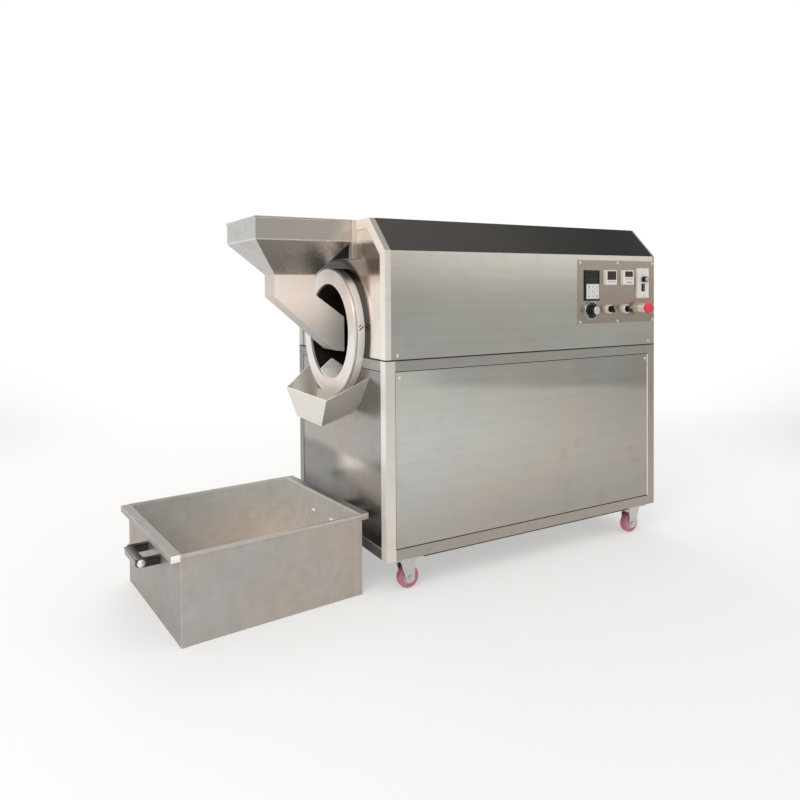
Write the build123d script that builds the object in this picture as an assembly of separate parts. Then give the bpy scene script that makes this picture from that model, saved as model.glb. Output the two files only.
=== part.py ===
from build123d import *
import os
from math import atan2, cos, degrees, hypot, pi, radians, sin, sqrt

# Electric drum roaster for nuts: a cabinet on casters, a turning drum with its mouth in the left end,
# a feed hopper, a discharge chute, a control plate and a loose catch bin.
# While building, X runs along the length from the left end's outer face, Y goes back from the front
# face and Z is up from the floor. At the end everything moves so that the origin is the middle of the
# footprint. All sizes are in millimetres.

# Cabinet
cabinet_length = 1056.0
cabinet_depth = 650.0
underside_height = 95.0
base_height = 556.0
hood_wall_height = 304.0
hood_slope = 97.0
tube = 30.0
tube_wall = 2.0
sheet = 1.5
panel_recess = 2.0
panel_gap = 1.0
tab_size = 24.0
tab_sheet = 2.0
end_border = 30.0
end_frame_sheet = 2.0
left_strip = 18.0
right_strip = 7.0
hood_rail = 20.0
hood_rail_wall = 1.5
hood_rail_drop = 2.0
cut_past = 1.0

# Panel screws
screw_head_radius = 4.5
screw_head_height = 2.4
screw_shank_radius = 2.0
screw_shank_length = 5.0
screw_hole_play = 0.1
screw_recess_width = 0.9
screw_recess_depth = 0.8
screw_crown = 1.9
screw_inset = 14.0
screw_drop = 17.0
hood_screw_inset = 19.6

# Vent slots in the rear base panel
vent_length = 70.0
vent_height = 5.0
vent_pitch = 14.0
vent_column_pitch = 91.0
vent_rise = 84.0
vent_rows = 6

# Drum
axis_above_seam = 66.0
neck_bore = 148.0
drum_radius = 230.0
drum_wall = 2.0
neck_inside = 90.0
cone_length = 50.0
drum_length = 510.0
back_plate = 4.0
flight_height = 45.0
flight_sheet = 2.5
flight_turns = 1.6
flights_per_turn = 10
flight_lead = 280.0
flight_front_margin = 30.0
flight_starts = 2
scoop_length = 86.0
scoop_height = 42.0
scoop_tip_along = 30.0
scoop_tip_radius = 8.0
scoop_sheet = 3.0
scoop_angle = -57.0
scoop_spread = 58.0
seat_play = 0.05

# Mouth ring and collar
ring_radius = 195.0
ring_stand_out = 30.0
ring_thickness = 8.0
ring_edge = 2.0
collar_gap = 2.0
collar_sheet = 2.0
collar_neck_play = 4.0
collar_slot_width = 3.5
collar_slot_pitch = 10.0
collar_slot_lean = 38.0
collar_slot_rise = 23.0
collar_slot_length = 18.0
mouth_hole_margin = 15.0

# Drum shaft, bearing and drive
shaft_radius = 20.0
shaft_flange_radius = 70.0
shaft_flange = 10.0
jacket_clearance = 16.0
bearing_offset = 55.0
bearing_width = 34.0
bearing_radius = 44.0
bearing_foot_length = 150.0
bearing_foot_height = 16.0
bearing_bolt_radius = 8.0
bearing_bolt_height = 6.0
running_play = 0.06
sprocket_offset = 58.0
sprocket_width = 7.0
chain_pitch = 12.7
drum_teeth = 38
motor_teeth = 15
tooth_height = 6.0
tooth_taper = 0.4
tooth_sink = 1.0
motor_shaft_past_hub = 4.0
sprocket_hub_radius = 32.0
motor_hub_radius = 20.0
hub_length = 22.0
chain_plate_sheet = 2.0
chain_plate_height = 11.0
chain_side_play = 0.5
chain_pin_radius = 3.5
chain_end_margin = 36.0
gearbox_length = 84.0
gearbox_width = 120.0
gearbox_height = 134.0
gearbox_gap = 20.0
gearbox_edge = 8.0
motor_radius = 62.0
motor_length = 190.0
motor_shaft_radius = 12.0
motor_fins = 9
motor_fin_depth = 5.0
motor_lid_length = 76.0
motor_lid_width = 62.0
motor_lid_offset = 47.5
motor_lid_rise = 31.0
motor_lid_sink = 7.0
motor_bore_end = 20.0
mount_plate = 10.0
mount_margin = 20.0
mount_margin_at_chain = 10.0

# Heat jacket and heating elements
jacket_gap = 42.0
jacket_neck_play = 10.0
jacket_shaft_play = 3.0
jacket_lug_length = 40.0
jacket_lug_height = 15.0
heater_radius = 6.0
heater_off_drum = 18.9
heater_count = 6
heater_spread = 16.0
heater_first_angle = -160.0
heater_last_angle = -20.0
heater_front_margin = 70.0
heater_terminal = 22.0
heater_hole_play = 0.1

# Support rollers under the drum neck
roller_radius = 28.0
roller_width = 20.0
roller_angle = 40.0
roller_gap = 0.3
roller_side_play = 1.0
roller_pin_radius = 8.0
roller_beam_drop = 217.0
beam_end_gap = 5.0
cheek_sheet = 3.0
cheek_half_width = 20.0

# Feed hopper, duct and bracket
hopper_length = 289.0
hopper_width = 284.0
hopper_band = 64.0
hopper_taper = 95.0
hopper_sheet = 2.0
hopper_gap = 13.0
hopper_hem = 3.0
hopper_hem_height = 5.0
throat_length = 127.0
throat_width = 90.0
throat_inset = 76.0
duct_lap = 2.0
duct_inner_drop = 61.0
duct_outer_drop = 66.0
duct_reach = 5.0
duct_end_rise = 46.0
duct_end_drop = 60.0
duct_lip_length = 31.0
duct_lip_rise = 5.0
bracket_margin = 4.0
bracket_height = 115.0
bracket_lip = 20.0

# Discharge chute, heights below the drum axis
chute_sheet = 2.0
chute_top_half_width = 226.0
chute_top_drop = 120.0
chute_rim_reach = 107.0
chute_rim_half_width = 165.0
chute_rim_drop = 187.0
chute_outlet_reach = 96.0
chute_outlet_half_width = 100.0
chute_outlet_drop = 272.0
chute_floor_drop = 202.0
chute_floor_reach = 15.0
chute_floor_end_drop = 236.0

# Control plate, places measured from its lower left corner
plate_width = 352.0
plate_height = 209.0
plate_sheet = 1.5
plate_right_gap = 2.0
plate_above_seam = 78.0
plate_screw_inset = 9.0
plate_screw_edge = 8.0
plate_opening_margin = 15.0
cutout_play = 0.4
keypad_place = (59.0, 126.5)
keypad_width = 64.0
keypad_height = 100.0
keypad_front = 5.0
keypad_body_depth = 24.0
keypad_body_margin = 4.0
keypad_membrane_width = 57.0
keypad_membrane_height = 49.0
keypad_membrane_raise = 0.8
keypad_visor_depth = 1.5
keypad_margin = 6.0
keypad_edge = 1.5
dial_place = (55.5, 46.0)
dial_radius = 29.0
dial_sheet = 5.0
controller_places = ((136.0, 152.5), (215.5, 152.5))
controller_size = 49.0
controller_front = 14.5
controller_body_size = 44.0
controller_body_depth = 62.0
controller_edge = 3.0
controller_window_depth = 1.2
window_sizes = ((41.0, 29.0), (38.0, 19.0))
window_rises = (6.5, 11.5)
speed_place = (289.5, 133.5)
speed_width = 53.5
speed_height = 101.5
speed_front = 10.0
speed_edge = 2.0
speed_body_margin = 6.0
speed_body_depth = 45.0
speed_knob_place = (288.0, 147.0)
rocker_place = (287.0, 119.0)
selector_places = ((133.0, 48.5), (210.0, 48.0))
estop_place = (285.0, 49.5)

# Knobs, selectors, rocker and emergency stop
knob_shaft_radius = 3.0
knob_shaft_in = 8.0
dial_knob_radius = 15.5
dial_knob_length = 22.0
dial_skirt_radius = 18.5
dial_skirt_height = 5.0
knob_flutes = 18
knob_flute_radius = 1.2
knob_edge_share = 0.125
knob_plain_share = 0.25
speed_knob_radius = 9.5
speed_knob_length = 15.0
knob_gap = 0.4
pot_size = 24.0
pot_depth = 18.0
pot_bore_depth = 12.0
rocker_width = 11.0
rocker_height = 22.0
rocker_bezel = 2.0
rocker_stand_out = 3.0
rocker_tilt = 10.0
rocker_pocket = 6.0
rocker_axis_depth = 1.0
rocker_back = 1.0
rocker_edge = 1.0
rocker_play = 1.4
rocker_axle_radius = 2.0
bezel_radius = 14.5
bezel_height = 12.0
bezel_bore = 11.5
bezel_floor = 2.0
bezel_edge = 1.0
barrel_radius = 11.0
barrel_bore = 8.0
barrel_length = 10.0
barrel_play = 0.1
selector_radius = 11.0
selector_drum = 6.0
selector_grip_width = 7.0
selector_grip_height = 15.0
selector_grip_edge = 1.75
selector_rest_angles = (0.0, -45.0)
selector_gap = 0.3
estop_collar_radius = 15.0
estop_collar_height = 26.0
estop_head_radius = 20.0
estop_head_height = 14.0
estop_stem_radius = 9.0
estop_travel = 6.0
estop_gap = 1.0
estop_crown = 8.4
estop_rim = 3.0
switch_block_size = 30.0
switch_block_depth = 40.0

# Casters
caster_inset_x = 77.0
caster_inset_y = 36.0
caster_trail = 8.0
caster_plate_length = 96.0
caster_plate_width = 66.0
caster_plate_sheet = 4.0
caster_plate_corner = 8.0
caster_race_radius = 26.0
caster_race_height = 6.0
caster_bolt_radius = 5.5
caster_bolt_height = 4.0
caster_bolt_inset = 11.0
kingpin_radius = 6.0
kingpin_gap = 0.3
wheel_radius = 31.5
wheel_width = 24.0
wheel_hub_width = 29.0
wheel_hub_radius = 13.0
wheel_tread_edge = 5.0
wheel_web_radius = 21.0
wheel_web_depth = 3.0
axle_radius = 5.0
axle_head_radius = 8.0
axle_head_height = 4.0
fork_sheet = 3.0
fork_gap = 16.0
fork_top_half_length = 23.0
fork_top_sheet = 5.0
fork_end_radius = 15.0

# Catch bin, standing loose on the floor
bin_length = 500.0
bin_width = 483.0
bin_height = 224.0
bin_sheet = 1.5
bin_angle = 5.4
bin_corner_gap = 47.5
bin_corner_back = 57.5
bin_rim_width = 22.5
bin_rim_height = 17.0
bin_hem = 3.0
bin_hem_height = 8.0
bin_corner_strip = 20.0
bin_corner_sheet = 1.2
handle_height = 160.0
handle_offset = 10.5
handle_pitch = 114.0
handle_arm = 22.0
handle_thickness = 20.0
handle_reach = 60.0
handle_corner = 18.0
handle_inner_corner = 9.0
handle_edge = 3.0
handle_bolt_radius = 4.0
handle_bolt_in = 16.0
handle_bolt_play = 0.1
handle_nut_radius = 7.5
handle_nut_height = 6.0
handle_nut_crown = 3.6

# Cable gland and electrics box
gland_inset = 110.0
gland_height = 90.0
gland_bore = 6.0
gland_thread_radius = 10.0
gland_nut_radius = 14.0
gland_nut_height = 6.0
gland_dome_radius = 12.0
gland_dome_height = 18.0
gland_dome_edge = 4.0
box_length = 260.0
box_height = 300.0
box_depth = 100.0
box_edge = 6.0
box_lid = 12.0
box_lid_overlap = 2.0
box_rise = 150.0

# Heights and places that follow from the sizes above
seam = underside_height + base_height
shoulder = seam + hood_wall_height
hood_top = shoulder + hood_slope
axis_y = cabinet_depth / 2
axis_z = seam + axis_above_seam
rail_top = underside_height + tube
top_rail_bottom = seam - tube
neck_radius = neck_bore + drum_wall
drum_bore = drum_radius - drum_wall
cone_end = neck_inside + cone_length
drum_back = cone_end + drum_length
ring_back = ring_thickness - ring_stand_out
mouth_hole = neck_radius + mouth_hole_margin
panel_face = panel_recess + sheet
jacket_radius = drum_radius + jacket_gap
jacket_front = neck_inside - jacket_neck_play
shaft_start = drum_back + back_plate
jacket_back = shaft_start + shaft_flange + jacket_clearance
bearing_x = jacket_back + bearing_offset
sprocket_x = bearing_x + sprocket_offset
sprocket_end = sprocket_x + sprocket_width
shaft_end = sprocket_x + hub_length
pan_top = rail_top + sheet
motor_x1 = sprocket_x - gearbox_gap
motor_x0 = motor_x1 - gearbox_length
gearbox_bottom = pan_top + mount_plate
motor_axis_z = gearbox_bottom + gearbox_height / 2
roller_beam_top = axis_z - roller_beam_drop
roller_distance = neck_radius + roller_radius + roller_gap
roller_x = tube + tube / 2
roller_drop = roller_distance * cos(radians(roller_angle))
roller_out = roller_distance * sin(radians(roller_angle))
hopper_inner_x = -hopper_gap
hopper_outer_x = hopper_inner_x - hopper_length
throat_inner_x = hopper_inner_x - throat_inset
throat_outer_x = throat_inner_x - throat_length
throat_top = hood_top - hopper_band - hopper_taper
plate_left = cabinet_length - plate_right_gap - plate_width
plate_bottom = seam + plate_above_seam
hood_outline = [
    (0, seam), (0, shoulder), (hood_slope, hood_top), (cabinet_depth - hood_slope, hood_top),
    (cabinet_depth, shoulder), (cabinet_depth, seam)]


def block(x0, x1, y0, y1, z0, z1):
    """Box between six planes."""
    middle = Pos((x0 + x1) / 2, (y0 + y1) / 2, (z0 + z1) / 2)
    return middle * Box(x1 - x0, y1 - y0, z1 - z0)


def rod(along, a, b, radius, start, end):
    """Round bar along one axis; a and b place it on the other two, in X, Y, Z order."""
    bar = Cylinder(radius, end - start)
    middle = (start + end) / 2
    if along == "x":
        return Pos(middle, a, b) * Rot(0, 90, 0) * bar
    if along == "y":
        return Pos(a, middle, b) * Rot(90, 0, 0) * bar
    return Pos(a, b, middle) * bar


def pipe(along, a, b, radius, bore, start, end):
    """Round bar with a hole right through."""
    return rod(along, a, b, radius, start, end) - rod(along, a, b, bore, start - cut_past, end + cut_past)


def prism(along, outline, start, end):
    """Solid of a flat outline, drawn on the other two axes in X, Y, Z order."""
    planes = {
        "x": Plane(origin=(start, 0, 0), x_dir=(0, 1, 0), z_dir=(1, 0, 0)),
        "y": Plane(origin=(0, start, 0), x_dir=(1, 0, 0), z_dir=(0, -1, 0)),
        "z": Plane(origin=(0, 0, start))}
    directions = {"x": (1, 0, 0), "y": (0, 1, 0), "z": (0, 0, 1)}
    face = make_face(Polyline(*outline, close=True))
    return extrude(planes[along] * face, amount=end - start, dir=directions[along])


def inset(outline, distances):
    """Outline with each side moved inwards; side 0 joins points 0 and 1."""
    sides = list(zip(outline, outline[1:] + outline[:1]))
    turn = 1 if sum(a[0] * b[1] - b[0] * a[1] for a, b in sides) > 0 else -1
    lines = []
    for (a, b), distance in zip(sides, distances):
        size = hypot(b[0] - a[0], b[1] - a[1])
        normal = (turn * (a[1] - b[1]) / size, turn * (b[0] - a[0]) / size)
        lines.append((*normal, normal[0] * a[0] + normal[1] * a[1] + distance))
    corners = []
    for (a, b, c), (d, e, f) in zip(lines[-1:] + lines[:-1], lines):
        spread = a * e - b * d
        corners.append(((c * e - b * f) / spread, (a * f - c * d) / spread))
    return corners


def turned(outline):
    """Solid of revolution about the drum axis from an outline of (x, radius) points."""
    face = make_face(Polyline(*[(x, radius) for x, radius in outline], close=True))
    return Pos(0, axis_y, axis_z) * revolve(Rot(90, 0, 0) * face, axis=Axis.X)


def square_tube(along, x0, x1, y0, y1, z0, z1, wall=tube_wall):
    """Hollow square bar, open at both ends."""
    walls = {axis: 0 if axis == along else wall for axis in "xyz"}
    bore = block(
        x0 + walls["x"], x1 - walls["x"], y0 + walls["y"], y1 - walls["y"],
        z0 + walls["z"], z1 - walls["z"])
    return block(x0, x1, y0, y1, z0, z1) - bore


def front_to_back(shape):
    """Mirror image across the middle of the depth."""
    return mirror(shape, about=Plane(origin=(0, axis_y, 0), z_dir=(0, 1, 0)))


def facing(point, normal):
    """Plane at a point whose Z points along the outward normal."""
    return Plane(origin=point, z_dir=normal)


# Screws: the places are used both for the screws and for the holes that they pass through
front_screws = [(x, panel_recess, top_rail_bottom - screw_drop)
                for x in (tube + screw_inset, cabinet_length - tube - screw_inset)]
hood_screws = [(x, 0, seam + screw_inset)
               for x in (left_strip + hood_screw_inset, cabinet_length - tube)]
plate_screws = [(plate_left + x, -plate_sheet, plate_bottom + z)
                for x in (plate_screw_inset, plate_width / 2, plate_width - plate_screw_inset)
                for z in (plate_screw_edge, plate_height - plate_screw_edge)]


def hole(point, normal, depth):
    """Clearance hole for a screw, through everything within a depth of the face."""
    drill = Cylinder(screw_shank_radius + screw_hole_play, 2 * depth)
    return facing(point, normal) * drill


def make_screw():
    """Cross-recessed pan-head screw whose head sits on Z = 0, with its shank below."""
    head = Pos(0, 0, screw_head_height / 2) * Cylinder(screw_head_radius, screw_head_height)
    head = fillet(head.edges().sort_by(Axis.Z)[-1:], screw_crown)
    slot = Box(screw_recess_width, screw_head_radius, 2 * screw_recess_depth)
    recess = [Pos(0, 0, screw_head_height) * Rot(0, 0, turn) * slot for turn in (45, 135)]
    shank = Pos(0, 0, -screw_shank_length / 2) * Cylinder(screw_shank_radius, screw_shank_length)
    return head - recess + shank


def base_frame():
    """Welded tube frame: posts, rails, beams and the tabs that the panels are screwed to."""
    right, back = cabinet_length, cabinet_depth
    bars = []
    for x in (0, right - tube):
        for y in (0, back - tube):
            bars.append(square_tube("z", x, x + tube, y, y + tube, underside_height, seam))
    for z in (underside_height, top_rail_bottom):
        for y in (0, back - tube):
            bars.append(square_tube("x", tube, right - tube, y, y + tube, z, z + tube))
        bars.append(square_tube("y", right - tube, right, tube, back - tube, z, z + tube))
    bars.append(square_tube("y", 0, tube, tube, back - tube, underside_height, rail_top))
    stub_end = axis_y - sqrt(mouth_hole**2 - axis_above_seam**2)
    stub = square_tube("y", 0, tube, tube, stub_end, top_rail_bottom, seam)
    bars += [stub, front_to_back(stub)]
    bars.append(square_tube(
        "y", tube, 2 * tube, beam_end_gap, back - beam_end_gap, roller_beam_top - tube, roller_beam_top))
    bars.append(square_tube(
        "y", bearing_x - tube / 2, bearing_x + tube / 2, tube, back - tube, top_rail_bottom, seam))
    for x in (motor_x0 - tube, motor_x1):
        bars.append(square_tube("y", x, x + tube, tube, back - tube, underside_height, rail_top))
    for z in (rail_top, top_rail_bottom - tab_size):
        for x in (tube, right - tube - tab_size):
            tab = block(x, x + tab_size, panel_face, panel_face + tab_sheet, z, z + tab_size)
            tab -= [hole(place, (0, -1, 0), tab_size) for place in front_screws]
            bars += [tab, front_to_back(tab)]
        for x in (panel_face, right - panel_face - tab_sheet):
            tab = block(x, x + tab_sheet, tube, tube + tab_size, z, z + tab_size)
            bars += [tab, front_to_back(tab)]
    return bars


def base_side_panel():
    """Front base panel, set back inside the frame with a thin gap all round."""
    edge = tube + panel_gap
    panel = block(
        edge, cabinet_length - edge, panel_recess, panel_face,
        rail_top + panel_gap, top_rail_bottom - panel_gap)
    return panel - [hole(place, (0, -1, 0), sheet) for place in front_screws]


def gland_place():
    """Where the cable gland passes through the rear base panel."""
    return cabinet_length - tube - gland_inset, rail_top + gland_height


def base_rear_panel():
    """Rear base panel with vent slots beside the motor and the cable gland's hole."""
    panel = front_to_back(base_side_panel())
    face_y = cabinet_depth - panel_recess
    middle_x = (motor_x0 + motor_x1) / 2
    for column in (-1, 0, 1):
        for row in range(vent_rows):
            x = middle_x + column * vent_column_pitch
            z = rail_top + vent_rise + row * vent_pitch
            slot = extrude(
                facing((x, face_y - 2 * sheet, z), (0, 1, 0)) * SlotOverall(vent_length, vent_height),
                amount=4 * sheet)
            panel -= slot
    gland_x, gland_z = gland_place()
    return panel - rod(
        "y", gland_x, gland_z, gland_thread_radius + screw_hole_play, face_y - tube, face_y + tube)


def base_end_panel():
    """Base panel of the left end, cut away round the drum mouth."""
    edge = tube + panel_gap
    panel = block(
        panel_recess, panel_face, edge, cabinet_depth - edge,
        rail_top + panel_gap, top_rail_bottom - panel_gap)
    return panel - rod("x", axis_y, axis_z, mouth_hole, -tube, tube)


def base_right_panel():
    """Base panel of the right end."""
    edge = tube + panel_gap
    return block(
        cabinet_length - panel_face, cabinet_length - panel_recess, edge, cabinet_depth - edge,
        rail_top + panel_gap, top_rail_bottom - panel_gap)


def base_floor_pan():
    """Floor sheet that lies on the bottom cross bars and end rails."""
    edge = 2 * panel_face + tab_sheet
    return block(
        edge, cabinet_length - edge, tube, cabinet_depth - tube, rail_top, pan_top)


def hood_frames():
    """Angle strips round both hood ends, mitred at the corners, and four rails between the ends."""
    strips = []
    sides = len(hood_outline) - 1
    face = inset(hood_outline, [end_border] * sides + [0])
    lip = inset(hood_outline, [end_frame_sheet] * sides + [0])
    ends = (
        (0, end_frame_sheet, 0, left_strip),
        (cabinet_length - end_frame_sheet, cabinet_length, cabinet_length - right_strip, cabinet_length))
    for face_start, face_end, lip_start, lip_end in ends:
        for i in range(sides):
            outer = [hood_outline[i], hood_outline[i + 1]]
            strip = prism("x", outer + [face[i + 1], face[i]], face_start, face_end)
            strip += prism("x", outer + [lip[i + 1], lip[i]], lip_start, lip_end)
            strips.append(strip)
    start = end_frame_sheet + sheet
    rail_z = shoulder - hood_rail_drop
    low = square_tube(
        "x", start, cabinet_length - start, sheet, sheet + hood_rail, rail_z - hood_rail, rail_z,
        hood_rail_wall)
    high = square_tube(
        "x", start, cabinet_length - start, hood_slope + sheet, hood_slope + sheet + hood_rail,
        hood_top - sheet - hood_rail, hood_top - sheet, hood_rail_wall)
    rails = [low, high]
    return strips + rails + [front_to_back(rail) for rail in rails]


def hood_end(start):
    """Flat end panel that lies inside an end frame."""
    distance = end_frame_sheet + panel_gap / 2
    outline = inset(hood_outline, [distance] * (len(hood_outline) - 1) + [0])
    return prism("x", outline, start, start + sheet)


def hood_left_panel():
    """Polished left end panel, cut away round the drum mouth."""
    return hood_end(end_frame_sheet) - rod("x", axis_y, axis_z, mouth_hole, -tube, tube)


def hood_side_panel():
    """Front hood panel, standing on the base and running up to the shoulder."""
    panel = block(left_strip, cabinet_length - right_strip, 0, sheet, seam, shoulder)
    return panel - [hole(place, (0, -1, 0), 2 * sheet) for place in hood_screws]


def hood_front_panel():
    """Front hood panel with the opening behind the control plate."""
    margin = plate_opening_margin
    opening = block(
        plate_left + margin, plate_left + plate_width - margin, -sheet, 2 * sheet,
        plate_bottom + margin, plate_bottom + plate_height - margin)
    holes = [hole(place, (0, -1, 0), 2 * plate_sheet + 2 * sheet) for place in plate_screws]
    return hood_side_panel() - opening - holes


def hood_cover():
    """Folded sheet over both slopes and the top."""
    outer = hood_outline[1:-1]
    inner = inset(outer, [sheet] * (len(outer) - 1) + [0])
    return prism("x", outer + inner[::-1], left_strip, cabinet_length - right_strip)


def panel_screws():
    """All pan-head screws of the base panels, hood panels and control plate."""
    one = make_screw()
    front = [facing(place, (0, -1, 0)) * one for place in front_screws + hood_screws + plate_screws]
    rear = [front_to_back(facing(place, (0, -1, 0)) * one) for place in front_screws + hood_screws]
    return front + rear


def mouth_collar():
    """Fixed collar round the drum neck: a front ring and a band, with a slanted split joint."""
    front = ring_back + collar_gap
    bore = neck_radius + collar_neck_play
    ring = pipe("x", axis_y, axis_z, ring_radius, bore, front, front + collar_sheet)
    band = pipe("x", axis_y, axis_z, ring_radius, ring_radius - collar_sheet, front, panel_recess)
    collar = ring + band
    collar -= block(0, tube, 0, cabinet_depth, top_rail_bottom, seam)
    band_middle = (front + collar_sheet + panel_recess) / 2
    for side in (-0.5, 0.5):
        slot = Rot(0, -collar_slot_lean, 0) * Box(
            collar_slot_length, 4 * collar_sheet, collar_slot_width)
        height = axis_z + collar_slot_rise + side * collar_slot_pitch
        collar -= Pos(band_middle, axis_y - ring_radius, height) * slot
    return collar


def drum_shell():
    """Drum in one skin: neck, cone, body and back plate."""
    outer = [
        (ring_back, 0), (ring_back, neck_radius), (neck_inside, neck_radius), (cone_end, drum_radius),
        (drum_back + back_plate, drum_radius), (drum_back + back_plate, 0)]
    inner = inset(outer, [0, drum_wall, drum_wall, drum_wall, back_plate, 0])
    return turned(outer) - turned(inner)


def drum_mouth_ring():
    """Flat ring on the front of the neck, with rounded outer edges."""
    disc = rod("x", axis_y, axis_z, ring_radius, -ring_stand_out, ring_back)
    disc = fillet(disc.edges(), ring_edge)
    return disc - rod("x", axis_y, axis_z, neck_bore, -2 * ring_stand_out, 0)


def drum_flights():
    """Screw flights as flat welded segments along two helices."""
    ring = pipe(
        "x", 0, 0, drum_bore - seat_play, drum_bore - flight_height, -drum_length, drum_length)
    step = 360 / flights_per_turn
    count = round(flight_turns * flights_per_turn)
    mean_radius = drum_bore - flight_height / 2
    lean = degrees(atan2(flight_lead, 2 * pi * mean_radius))
    segment = 2 * (drum_bore - flight_height) * sin(radians(step / 2)) - flight_sheet
    plates = []
    for start in range(flight_starts):
        for i in range(count):
            angle = start * 360 / flight_starts + i * step
            x = cone_end + flight_front_margin + flight_lead * (i + 0.5) / flights_per_turn
            plate = Pos(0, 0, mean_radius) * Rot(0, 0, 90 + lean) * Box(
                segment, flight_sheet, 2 * flight_height)
            plate = Rot(-angle, 0, 0) * plate & ring
            plates.append(Pos(x, axis_y, axis_z) * plate)
    return plates


def drum_scoop():
    """Scoop in the neck that lifts nuts out: a blade with a rounded tip on a curved shoe."""
    foot = neck_bore - seat_play
    end = ring_back + scoop_length
    blade = make_face(Polyline(
        (ring_back, foot), (end, foot), (ring_back + scoop_tip_along, foot - scoop_height), close=True))
    blade = fillet(blade.vertices().sort_by(Axis.Y)[:1], scoop_tip_radius)
    blade = extrude(Rot(90, 0, 0) * blade, amount=scoop_sheet / 2, both=True)
    blade = Pos(0, axis_y, axis_z) * Rot(scoop_angle - 90, 0, 0) * blade
    wedge = [(axis_y, axis_z)]
    for share in (0, 0.5, 1):
        angle = radians(scoop_angle - share * scoop_spread)
        wedge.append((axis_y + drum_radius * cos(angle), axis_z + drum_radius * sin(angle)))
    shoe = pipe("x", axis_y, axis_z, foot, foot - scoop_sheet, ring_back, end)
    return blade + (shoe & prism("x", wedge, ring_back, end))


def drum_shaft():
    """Shaft with the flange that is bolted to the drum's back plate."""
    flange = rod("x", axis_y, axis_z, shaft_flange_radius, shaft_start, shaft_start + shaft_flange)
    return flange + rod("x", axis_y, axis_z, shaft_radius, shaft_start, shaft_end)


def pitch_radius(teeth):
    """Radius at the chain's pins for a number of teeth."""
    return chain_pitch / (2 * sin(pi / teeth))


def sprocket(teeth, hub_radius):
    """Toothed disc with a hub, on the X axis from X = 0."""
    radius = pitch_radius(teeth)
    root = radius - tooth_height / 2
    half_pitch = pi * root / teeth / 2
    disc = rod("x", 0, 0, root, 0, sprocket_width)
    foot, tip = root - tooth_sink, radius + tooth_height / 2
    half_tip = tooth_taper * half_pitch
    outline = [(-half_pitch, foot), (half_pitch, foot), (half_tip, tip), (-half_tip, tip)]
    tooth = prism("x", outline, 0, sprocket_width)
    teeth_ring = [Rot(360 * i / teeth, 0, 0) * tooth for i in range(teeth)]
    return disc + teeth_ring + rod("x", 0, 0, hub_radius, 0, hub_length)


def drum_sprocket():
    """Large sprocket on the drum shaft."""
    wheel = sprocket(drum_teeth, sprocket_hub_radius)
    wheel -= rod("x", 0, 0, shaft_radius + seat_play, -hub_length, 2 * hub_length)
    return Pos(sprocket_x, axis_y, axis_z) * wheel


def motor_sprocket():
    """Small sprocket with the gearbox's output shaft."""
    wheel = sprocket(motor_teeth, motor_hub_radius)
    wheel += rod(
        "x", 0, 0, motor_shaft_radius, -gearbox_gap - gearbox_length / 2, hub_length + motor_shaft_past_hub)
    return Pos(sprocket_x, axis_y, motor_axis_z) * wheel


def drive_chain():
    """Chain as two loops of side plates, with pins along its straight runs."""
    drop = axis_z - motor_axis_z
    big, small = pitch_radius(drum_teeth), pitch_radius(motor_teeth)

    def loop(grow):
        """Face inside the loop, this far outside the pins."""
        circles = Circle(big + grow) + Pos(0, -drop) * Circle(small + grow)
        return make_hull(circles.edges())

    strip = loop(chain_plate_height / 2) - loop(-chain_plate_height / 2)
    plate = extrude(
        Plane(origin=(0, axis_y, axis_z), x_dir=(0, 1, 0), z_dir=(1, 0, 0)) * strip,
        amount=chain_plate_sheet)
    starts = (sprocket_x - chain_side_play - chain_plate_sheet, sprocket_end + chain_side_play)
    lean = (small - big) / drop
    side = sqrt(1 - lean**2)
    run = sqrt(drop**2 - (big - small)**2)
    pins = []
    count = int((run - 2 * chain_end_margin) / (2 * chain_pitch))
    for hand in (-1, 1):
        for i in range(count + 1):
            along = chain_end_margin + 2 * chain_pitch * i
            y = axis_y + hand * (big * side + lean * along)
            z = axis_z + big * lean - side * along
            pins.append(rod("x", y, z, chain_pin_radius, starts[0], starts[1] + chain_plate_sheet))
    return Pos(starts[0], 0, 0) * plate + Pos(starts[1], 0, 0) * plate + pins


def rear_bearing():
    """Pillow block on the cross beam, with its foot and two bolts."""
    x0, x1 = bearing_x - bearing_width / 2, bearing_x + bearing_width / 2
    foot = block(
        x0, x1, axis_y - bearing_foot_length / 2, axis_y + bearing_foot_length / 2,
        seam, seam + bearing_foot_height)
    neck = block(x0, x1, axis_y - bearing_radius, axis_y + bearing_radius, seam, axis_z)
    housing = foot + neck + rod("x", axis_y, axis_z, bearing_radius, x0, x1)
    housing -= rod("x", axis_y, axis_z, shaft_radius + running_play, x0 - cut_past, x1 + cut_past)
    bolt_z = seam + bearing_foot_height
    bolt_out = bearing_foot_length / 2 - screw_inset
    for hand in (-1, 1):
        bolt = Pos(bearing_x, axis_y + hand * bolt_out, bolt_z) * RegularPolygon(bearing_bolt_radius, 6)
        housing += extrude(bolt, amount=bearing_bolt_height)
    return housing


def motor_mount():
    """Plate on the floor pan that carries the gear motor."""
    half_width = gearbox_width / 2 + mount_margin
    return block(
        motor_x0 - mount_margin, motor_x1 + mount_margin_at_chain, axis_y - half_width, axis_y + half_width,
        pan_top, gearbox_bottom)


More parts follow.
